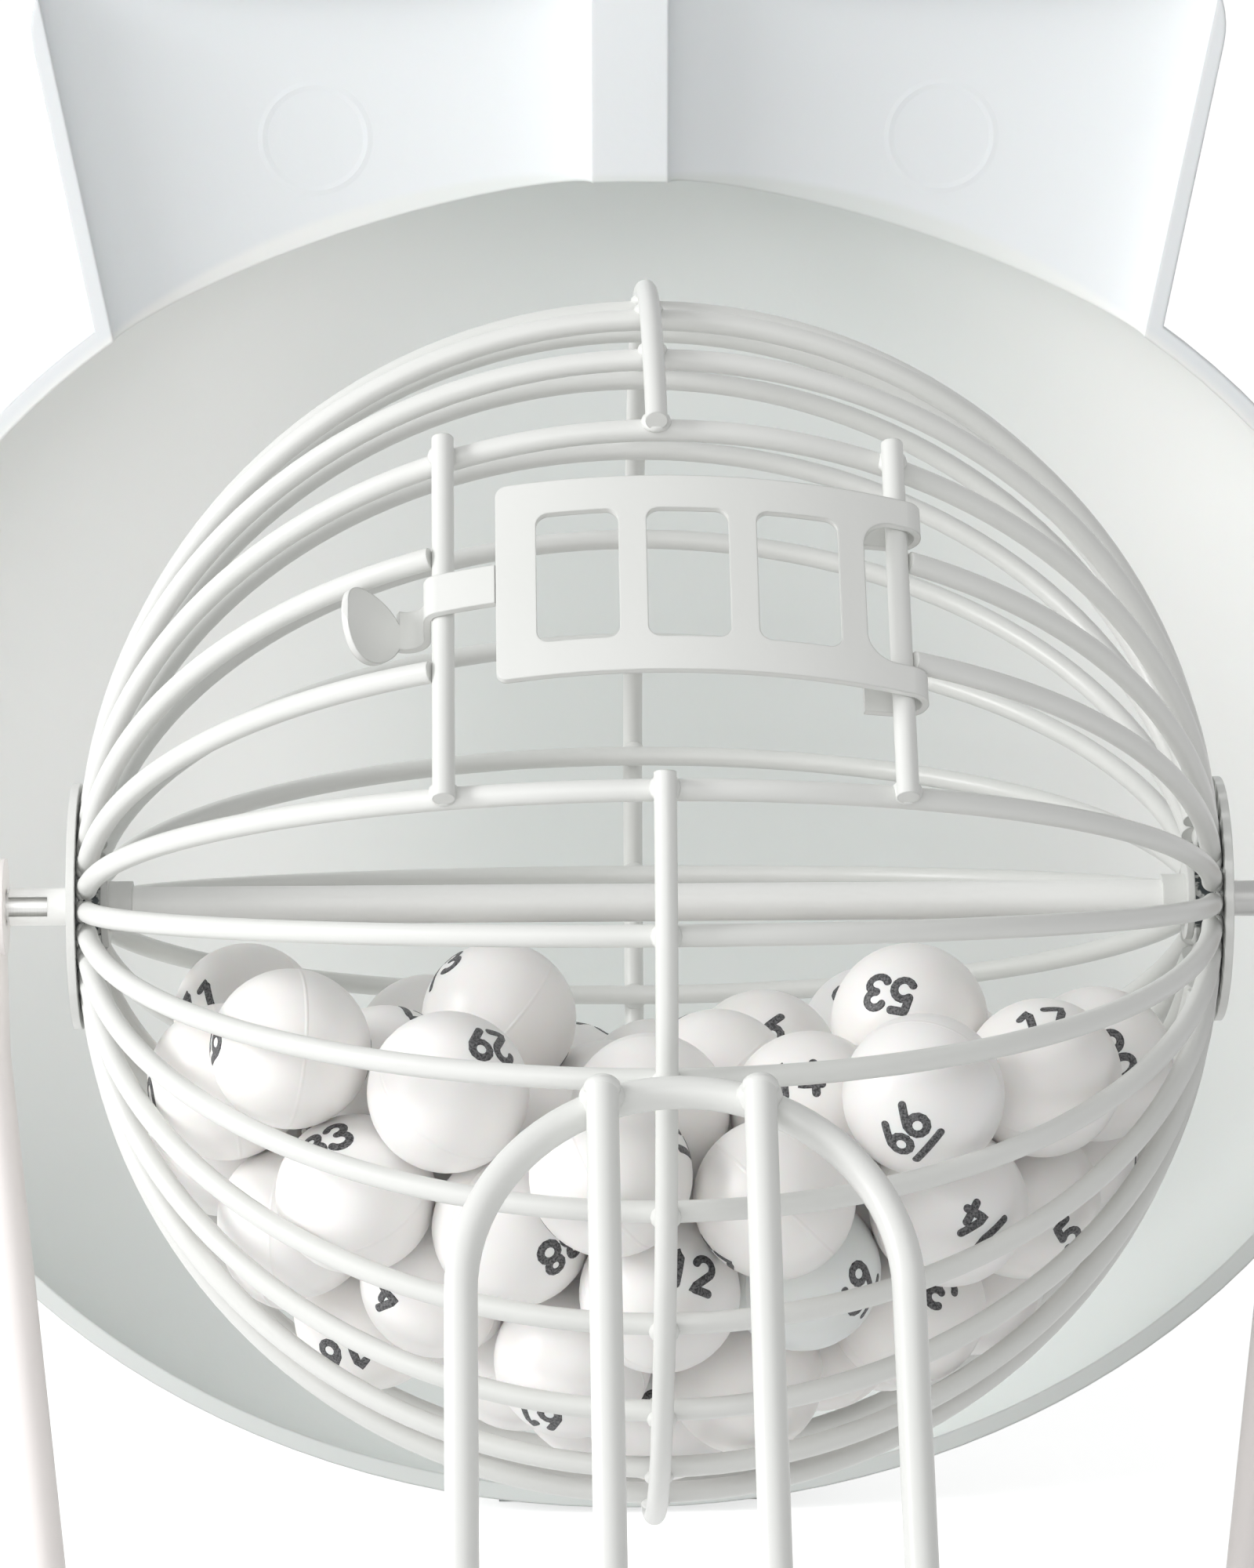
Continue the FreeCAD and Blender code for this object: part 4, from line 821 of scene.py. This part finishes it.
@dataclass
class BallPile:
    """The numbered balls: smooth shells with a moulding seam and two printed numbers.

    Sizes are in metres. A print is turned to the front where its place is within
    widest_print of a ball's radius from the ball's middle.
    """

    viewpoint: Viewpoint
    radius: float = 0.011
    rows: int = 25
    columns: int = 48
    digit_height: float = 0.0052
    pen_width: float = 0.00118
    ink_rise: float = 0.00004
    pen_sides: int = 8
    cap_points: int = 5
    shortest_step: float = 1e-6
    fewest_faces: int = 20
    widest_print: float = 0.9
    seed: int = 17
    prints: tuple[Print, ...] = (
        Print(629, 1330, 29, 200), Print(985, 1310, 9, 170), Print(257, 1275, 11, 15),
        Print(1327, 1300, 17, 15), Print(1412, 1345, 20, -60), Print(495, 1653, 4, 150),
        Print(442, 1724, 16, 200), Print(1094, 1640, 69, 60), Print(1130, 1265, 53, 165),
        Print(418, 1452, 33, 30), Print(881, 1615, 12, -10), Print(1251, 1560, 74, 150),
        Print(1359, 1571, 5, 40), Print(720, 1590, 38, 205),
    )
    centres: np.ndarray = field(init=False)
    axes: np.ndarray = field(init=False)
    numbers: np.ndarray = field(init=False)

    def find_centres(self) -> None:
        """Finds the balls: each face's middle, less the radius along its normal.

        Faces without a size point anywhere, so a ball needs more than a few that agree.
        """
        mesh = frame["nodes"]["balls"].data
        count = len(mesh.polygons)
        middles = np.empty(count * 3)
        normals = np.empty(count * 3)
        mesh.polygons.foreach_get("center", middles)
        mesh.polygons.foreach_get("normal", normals)
        guesses = (middles - self.radius * normals).reshape(-1, 3)
        found = []
        while len(guesses):
            near = np.linalg.norm(guesses - guesses[0], axis=1) < self.radius / 2
            if near.sum() > self.fewest_faces:
                found.append(guesses[near].mean(axis=0))
            guesses = guesses[~near]
        order = np.array(found)
        self.centres = order[np.lexsort(np.round(order.T, 4))]

    def turn_balls(self) -> None:
        """Turns each ball at random, then turns the ones in view as prints says."""
        rng = np.random.default_rng(self.seed)
        count = len(self.centres)
        forward = unit(rng.normal(size=(count, 3)))
        side = unit(np.cross(rng.normal(size=(count, 3)), forward))
        self.axes = np.stack([side, np.cross(forward, side), forward], axis=1)
        self.numbers = rng.permutation(count) + 1
        right, up, ahead = self.viewpoint.axes
        seen = self.viewpoint.seen(self.centres)
        size = self.viewpoint.pixels * self.radius / seen[:, 2]
        free = np.ones(count, bool)
        for mark in self.prints:
            offset = np.stack([mark.across - seen[:, 0], seen[:, 1] - mark.down], -1)
            offset /= size[:, None]
            inside = (np.linalg.norm(offset, axis=1) < self.widest_print) & free
            if not inside.any():
                continue
            best = np.where(inside, seen[:, 2], np.inf).argmin()
            free[best] = False
            x, y = offset[best]
            out = right * x + up * y - ahead * math.sqrt(max(0.0, 1.0 - x * x - y * y))
            turn = math.radians(mark.turn)
            along = right * math.cos(turn) + up * math.sin(turn)
            along = unit(along - out * (along @ out))
            self.axes[best] = np.stack([along, np.cross(out, along), out])
            other = np.flatnonzero(self.numbers == mark.number)
            self.numbers[other] = self.numbers[best]
            self.numbers[best] = mark.number

    def build_balls(self) -> bpy.types.Object:
        """Makes the balls as one piece, in place of the plain ones.

        A point lies at centre + radius times the turned ball of radius 1. The seam is the
        circle where the distance along the third axis, kept as "seam", is 0.

        Returns:
            The piece.
        """
        shell = round_shell(self.rows, self.columns)
        turned = np.einsum("rcj,kji->krci", shell, self.axes)
        points = self.centres[:, None, None, :] + self.radius * turned
        vertices, faces = shells(points)
        count = len(self.centres)
        seam = np.broadcast_to(self.radius * shell[None, :, :, 2:], (count, *shell.shape[:2], 1))
        seam = shells(np.repeat(seam, 3, axis=3))[0][:, 0]
        tones = np.random.default_rng(self.seed + 1).random(count)
        tone = np.repeat(tones, len(vertices) // count)
        made = piece("printed_balls", vertices, faces, seam=seam, tone=tone)
        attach(made, "stand")
        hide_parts("balls")
        return made

    def pen_shells(self, path: np.ndarray, axes: np.ndarray, centre: np.ndarray) -> np.ndarray:
        """Lays one stroke of ink on a ball.

        The stroke is a flat tube: at each point of the path it reaches half the pen's width
        to each side, less within half a width of its ends, which it rounds, and rises a
        little above the ball. A point (x, y) of the path lies on the ball where an arc of
        that length in that direction from the print's middle ends.

        Args:
            path: Points of the stroke on the flat, in metres.
            axes: The ball's axes, as rows; the print faces along the third.
            centre: The ball's centre.

        Returns:
            Array of shape (rows, sides, 3).
        """
        step = np.linalg.norm(np.diff(path, axis=0), axis=1)
        path = path[np.concatenate([[True], step > self.shortest_step])]
        step = step[step > self.shortest_step]
        run = np.concatenate([[0.0], np.cumsum(step)])
        half = self.pen_width / 2
        cap = half * np.cos(np.linspace(math.pi, math.pi / 2, self.cap_points))
        at = np.concatenate([cap, run[1:-1], run[-1] - cap[::-1]])
        tangent = np.gradient(path, run, axis=0)
        place = np.stack([np.interp(at, run, path[:, i]) for i in range(2)], -1)
        way = unit(np.stack([np.interp(at, run, tangent[:, i]) for i in range(2)], -1))
        past = at - np.clip(at, 0.0, run[-1])
        place = place + way * past[:, None]
        width = np.sqrt(np.maximum(half * half - past * past, 0.0))
        round_angle = np.linspace(0.0, 2.0 * math.pi, self.pen_sides, endpoint=False)
        across = np.stack([-way[:, 1], way[:, 0]], -1)
        flat = place[:, None] + across[:, None] * (width[:, None] * np.cos(round_angle))[..., None]
        rise = (width[:, None] / half) * self.ink_rise * np.sin(round_angle)
        reach = np.linalg.norm(flat, axis=-1)
        bend = reach / self.radius
        scale = np.sinc(bend / math.pi)
        local = np.concatenate(
            [flat / self.radius * scale[..., None], np.cos(bend)[..., None]], axis=-1
        )
        return centre + (local * (self.radius + rise)[..., None]) @ axes

    def number_paths(self, number: int) -> list[np.ndarray]:
        """Writes a number round its own middle.

        A number of two digits that could be read upside down gets a line under it.

        Args:
            number: The number.

        Returns:
            Its strokes, in metres.
        """
        text = str(number)
        width = DIGIT_ADVANCE * (len(text) - 1) + DIGIT_WIDTH
        corner = np.array([-width / 2, -0.5])
        paths = [
            path + corner + np.array([DIGIT_ADVANCE * index, 0.0])
            for index, digit in enumerate(text)
            for path in DIGITS[digit]
        ]
        if len(text) > 1 and set(text) <= TWO_WAY_DIGITS:
            paths.append(UNDERLINE * np.array([width / DIGIT_WIDTH, 1.0]) + corner)
        return [path * self.digit_height for path in paths]

    def build_prints(self) -> bpy.types.Object:
        """Makes all the ink as one piece, with a number on two opposite sides of each ball.

        Returns:
            The piece.
        """
        vertices: list[np.ndarray] = []
        faces: list[list[int]] = []
        start = 0
        for centre, axes, number in zip(self.centres, self.axes, self.numbers):
            back = axes * np.array([[1.0], [-1.0], [-1.0]])
            for side in (axes, back):
                for path in self.number_paths(int(number)):
                    points, joins = shells(self.pen_shells(path, side, centre)[None])
                    vertices.append(points)
                    faces += [[index + start for index in face] for face in joins]
                    start += len(points)
        made = piece("ball_numbers", np.concatenate(vertices), faces)
        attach(made, "stand")
        return made

    def build(self, finishes: dict[str, bpy.types.Material]) -> None:
        """Builds and dresses the balls and their numbers.

        Args:
            finishes: Materials by slot.
        """
        self.find_centres()
        self.turn_balls()
        balls = self.build_balls()
        balls.data.materials.append(finishes["ball_plastic"])
        ink = self.build_prints()
        ink.data.materials.append(finishes["ink"])
        LOG.info("balls: %d, faces %d, ink faces %d", len(self.centres),
                 len(balls.data.polygons), len(ink.data.polygons))


# ---------------------------------------------------------------- welds


def beads(
    places: np.ndarray, outs: np.ndarray, sizes: np.ndarray, rows: int, columns: int
) -> np.ndarray:
    """Gives flattened balls: place + (a X side, b along, c out) of a ball of radius 1.

    Args:
        places: Their middles, shape (n, 3).
        outs: The direction of each one's third half size, at a right angle to X.
        sizes: Half sizes across, along and outwards, shape (n, 3).
        rows: Rows of points on each ball.
        columns: Points in each row.

    Returns:
        Array of shape (n, rows, columns, 3).
    """
    side = np.broadcast_to(ALONG_X, outs.shape)
    axes = np.stack([side, np.cross(outs, side), outs], axis=1) * sizes[:, :, None]
    turned = np.einsum("rcj,kji->krci", round_shell(rows, columns), axes)
    return places[:, None, None, :] + turned


@dataclass
class WireWelds:
    """The small weld beads of the cage, where wires cross or end on one another.

    Sizes are in metres. equator and hoop are the distances of the wires' middles and of the
    hoop from the axle's line. A wire is an arc of arc_radius whose centre lies arc_offset
    off that line. Each door bar has its x and its distance, and so do the wires' ends.
    """

    axle: np.ndarray
    wire_count: int = 28
    door_angle: float = 44.2
    door_wires: int = 4
    equator: float = 0.085
    hoop: float = 0.08795
    arc_offset: float = 0.0044296
    arc_radius: float = 0.0805704
    latch_x: float = -0.0288
    latch_out: float = 0.078342
    hinge_x: float = 0.032
    hinge_out: float = 0.077161
    end_x: float = 0.0808
    end_radius: float = 0.014
    hoop_bead: Triple = (0.0021, 0.0021, 0.0011)
    end_bead: Triple = (0.0008, 0.0017, 0.0019)
    bar_bead: Triple = (0.0021, 0.0020, 0.0011)
    rows: int = 9
    columns: int = 14

    def wire_radius(self, x: float) -> float:
        """Gives a cage wire's distance from the axle: offset + sqrt(radius^2 - x^2)."""
        return self.arc_offset + math.sqrt(self.arc_radius**2 - x * x)

    def out(self, degrees: float | np.ndarray) -> np.ndarray:
        """Gives the outward direction at an angle that climbs from the front."""
        angle = np.radians(np.atleast_1d(degrees))
        return np.stack([0.0 * angle, -np.cos(angle), np.sin(angle)], -1)

    def build(self, finishes: dict[str, bpy.types.Material]) -> None:
        """Builds and dresses the beads.

        Args:
            finishes: Materials by slot.
        """
        pitch = 360.0 / self.wire_count
        first = self.door_angle - (self.door_wires - 1) / 2 * pitch
        angles = first + pitch * np.arange(self.wire_count)
        kept = np.ones(self.wire_count, bool)
        kept[1 : self.door_wires - 1] = False
        groups = []

        hoop_out = self.out(angles[kept])
        groups.append((hoop_out * (self.equator + self.hoop) / 2, hoop_out, self.hoop_bead))

        end_out = self.out(angles)
        for side in SIDES:
            ends = end_out * self.end_radius + side * self.end_x * ALONG_X
            groups.append((ends, end_out, self.end_bead))

        door_out = self.out(self.door_angle)
        door_up = np.cross(door_out, ALONG_X)
        half = math.radians(pitch * (self.door_wires - 1) / 2)
        for x, bar_out in ((self.latch_x, self.latch_out), (self.hinge_x, self.hinge_out)):
            wire = self.wire_radius(x)
            out = (wire * math.cos(half) + bar_out) / 2 * door_out
            for way in SIDES:
                spot = out + way * wire * math.sin(half) * door_up + x * ALONG_X
                groups.append((spot, door_out, self.bar_bead))

        places, outs = (np.concatenate([group[i] for group in groups]) for i in (0, 1))
        sizes = np.concatenate([np.tile(bead, (len(spots), 1)) for spots, _, bead in groups])
        points = beads(self.axle + places, outs, sizes, self.rows, self.columns)
        made = piece("cage_welds", *shells(points))
        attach(made, "drum")
        made.data.materials.append(finishes["white_coating"])
        LOG.info("cage welds: %d", len(points))


@dataclass
class StandWelds:
    """The beads where the stand's wires cross, and the rounded tops of the slide's rails.

    Sizes are in metres. The rails' upper ends lie rail_x to each side of slide_x, and at top,
    y and z, from the axle. A rail's cap and its web lie so far down the slope from there.
    Crossings closer than apart are one, and one whose direction out lies more than steep
    along X has no bead.
    """

    axle: np.ndarray
    slide_x: float = 0.0014
    rail_x: float = 0.0101
    top: Span = (-0.097, 0.0007)
    slope: float = 45.0
    cap_down: float = 0.00136
    web_down: float = 0.0016
    rail_rise: float = 0.0042
    cap: Triple = (0.0024, 0.0016, 0.00215)
    web: Triple = (0.0030, 0.0023, 0.0025)
    bead: Triple = (0.0027, 0.0027, 0.0014)
    apart: float = 0.006
    steep: float = 0.9
    rows: int = 13
    columns: int = 20
    crossings: tuple[tuple[str, str], ...] = (
        ("slide_frame", "base_loop"),
        ("base_loop", "post_left"),
        ("base_loop", "post_right"),
        ("slide_frame", "slide_rail_left"),
        ("slide_frame", "slide_rail_right"),
    )

    def meetings(self, first: str, second: str) -> list[tuple[np.ndarray, np.ndarray]]:
        """Finds where two wires cross, by casting the edges of each against the other.

        Args:
            first: One wire's node.
            second: The other wire's node.

        Returns:
            Each place and the mean direction out of the second wire there.
        """
        meshes = [frame["nodes"][name].data for name in (first, second)]
        trees = []
        for mesh in meshes:
            points = [vertex.co.copy() for vertex in mesh.vertices]
            corners = [list(face.vertices) for face in mesh.polygons]
            trees.append(BVHTree.FromPolygons(points, corners))
        pairs = trees[0].overlap(trees[1])
        hits = []
        for which, sign in ((0, 1.0), (1, -1.0)):
            mesh = meshes[which]
            other = trees[1 - which]
            edges = {key for pair in pairs for key in mesh.polygons[pair[which]].edge_keys}
            for low, high in sorted(edges):
                start = mesh.vertices[low].co
                way = mesh.vertices[high].co - start
                place, normal, _, _ = other.ray_cast(start, way, way.length)
                if place is not None:
                    hits.append((*place, *(sign * normal)))
        left = np.array(hits).reshape(-1, 6)
        found = []
        while len(left):
            near = np.linalg.norm(left[:, :3] - left[0, :3], axis=1) < self.apart
            mean = left[near].mean(axis=0)
            found.append((mean[:3], unit(mean[3:])))
            left = left[~near]
        return found

    def build(self, finishes: dict[str, bpy.types.Material]) -> None:
        """Builds and dresses the beads.

        Args:
            finishes: Materials by slot.
        """
        angle = math.radians(self.slope)
        down = np.array([0.0, -math.cos(angle), -math.sin(angle)])
        normal = np.array([0.0, -math.sin(angle), math.cos(angle)])
        lumps = []
        for side in SIDES:
            start = self.axle + np.array([self.slide_x + side * self.rail_x, *self.top])
            rail_end = start + self.cap_down * down + self.rail_rise * normal
            lumps.append((rail_end, normal, self.cap))
            between = start + self.web_down * down + self.rail_rise / 2 * normal
            lumps.append((between, normal, self.web))
        for first, second in self.crossings:
            for centre, out in self.meetings(first, second):
                if abs(out[0]) < self.steep:
                    lumps.append((centre, unit(out - out[0] * ALONG_X), self.bead))
        places, outs, sizes = (np.array(values) for values in zip(*lumps))
        points = beads(places, outs, sizes, self.rows, self.columns)
        made = piece("stand_welds", *shells(points))
        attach(made, "stand")
        made.data.materials.append(finishes["white_coating"])
        LOG.info("stand welds: %d", len(lumps))


# ---------------------------------------------------------------- surroundings


@dataclass(frozen=True)
class Lamp:
    """A square soft lamp: its place from the axle, its side in metres and its power in watts."""

    name: str
    place: Triple
    size: float
    power: float


@dataclass(frozen=True)
class Studio:
    """The floor, the sky light and the lamps.

    The sky has the strength sky_light, less slant of it from the right and more from the
    left. glow is the light that the floor shows to the camera and to glossy pieces.
    """

    axle: np.ndarray
    floor_size: float = 6.0
    floor_drop: float = 0.0002
    floor_colour: Quad = (0.86, 0.86, 0.86, 1.0)
    floor_roughness: float = 0.9
    floor_shine: float = 0.1
    sky_light: float = 0.455
    slant: float = 0.3
    glow: float = 0.62
    lamps: tuple[Lamp, ...] = (
        Lamp("key", (-1.35, -0.42, 0.62), 0.55, 13.6),
        Lamp("fill", (-0.35, -1.35, 0.75), 1.2, 6.6),
    )

    def floor(self) -> None:
        """Lays a white floor that keeps soft shadows."""
        half = self.floor_size / 2
        mesh = bpy.data.meshes.new("floor")
        corners = ((-half, -half), (half, -half), (half, half), (-half, half))
        mesh.from_pydata([(x, y, -self.floor_drop) for x, y in corners], [], [(0, 1, 2, 3)])
        floor = bpy.data.objects.new("floor", mesh)
        bpy.context.scene.collection.objects.link(floor)
        material = bpy.data.materials.new("floor")
        material.use_nodes = True
        desk = NodeDesk(material.node_tree)
        shader = material.node_tree.nodes["Principled BSDF"]
        shader.inputs["Base Color"].default_value = self.floor_colour
        shader.inputs["Roughness"].default_value = self.floor_roughness
        shader.inputs["Specular IOR Level"].default_value = self.floor_shine
        path = desk.add("LightPath").outputs
        shown = desk.math("MAXIMUM", path["Is Camera Ray"], path["Is Glossy Ray"])
        desk.put(desk.math("MULTIPLY", shown, self.glow), shader.inputs["Emission Strength"])
        shader.inputs["Emission Color"].default_value = WHITE
        mesh.materials.append(material)

    def sky(self) -> None:
        """Lights from all round, less from the right, and shows white behind."""
        world = bpy.data.worlds.new("studio")
        world.use_nodes = True
        bpy.context.scene.world = world
        desk = NodeDesk(world.node_tree)
        sky = world.node_tree.nodes["Background"]
        path = desk.add("LightPath").outputs
        shown = desk.math("MAXIMUM", path["Is Camera Ray"], path["Is Glossy Ray"])
        shown = desk.math("MAXIMUM", shown, path["Is Transmission Ray"])
        way = desk.add("SeparateXYZ", Vector=desk.add("TexCoord").outputs["Generated"]).outputs
        less = -self.sky_light * self.slant
        light = desk.math("MULTIPLY_ADD", way["X"], less, self.sky_light)
        hidden = desk.math("SUBTRACT", 1.0, shown)
        strength = desk.math("MULTIPLY_ADD", hidden, light, shown)
        desk.put(strength, sky.inputs["Strength"])
        sky.inputs["Color"].default_value = WHITE

    def hang(self, lamp: Lamp) -> None:
        """Hangs a lamp that faces the axle.

        Args:
            lamp: The lamp.
        """
        data = bpy.data.lights.new(lamp.name, "AREA")
        data.shape = "SQUARE"
        data.size = lamp.size
        data.energy = lamp.power
        hung = bpy.data.objects.new(lamp.name, data)
        hung.location = Vector(self.axle) + Vector(lamp.place)
        hung.rotation_mode = "QUATERNION"
        hung.rotation_quaternion = (-Vector(lamp.place)).to_track_quat("-Z", "Y")
        bpy.context.scene.collection.objects.link(hung)

    def build(self) -> None:
        """Builds floor, sky and lamps round the axle."""
        self.floor()
        self.sky()
        for lamp in self.lamps:
            self.hang(lamp)
        LOG.info("studio: %d lamps", len(self.lamps))


# ---------------------------------------------------------------- all of it


def dress_nodes(finishes: dict[str, bpy.types.Material]) -> None:
    """Gives every carried-over solid its own finish, or else the finish of its slot.

    Args:
        finishes: Materials by slot.
    """
    entries = frame["record"]["subparts"]
    for entry in entries:
        wanted = OWN_FINISH.get(entry["node"], entry["material_slot"])
        for slot in frame["nodes"][entry["node"]].material_slots:
            slot.material = finishes[wanted]
    LOG.info("dressed %d solids", len(entries))


def main() -> None:
    """Builds the finishes, the balls, the welds and the surroundings, in that order."""
    logging.basicConfig(level=logging.INFO, format="%(name)s: %(message)s")
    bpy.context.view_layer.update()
    bpy.context.scene.view_settings.view_transform = "Standard"
    spin = next(joint for joint in frame["joints"] if joint["name"] == "drum_spin")
    axle = np.array(spin["pos_m"])
    viewpoint = Viewpoint(axle)
    viewpoint.build()
    groups = NodeGroups()
    finishes = {finish.slot: finish.material(groups, axle) for finish in (*FINISHES, *SPECIAL)}
    dress_nodes(finishes)
    BallPile(viewpoint).build(finishes)
    WireWelds(axle).build(finishes)
    StandWelds(axle).build(finishes)
    Studio(axle).build()


if __name__ == "__main__":
    main()
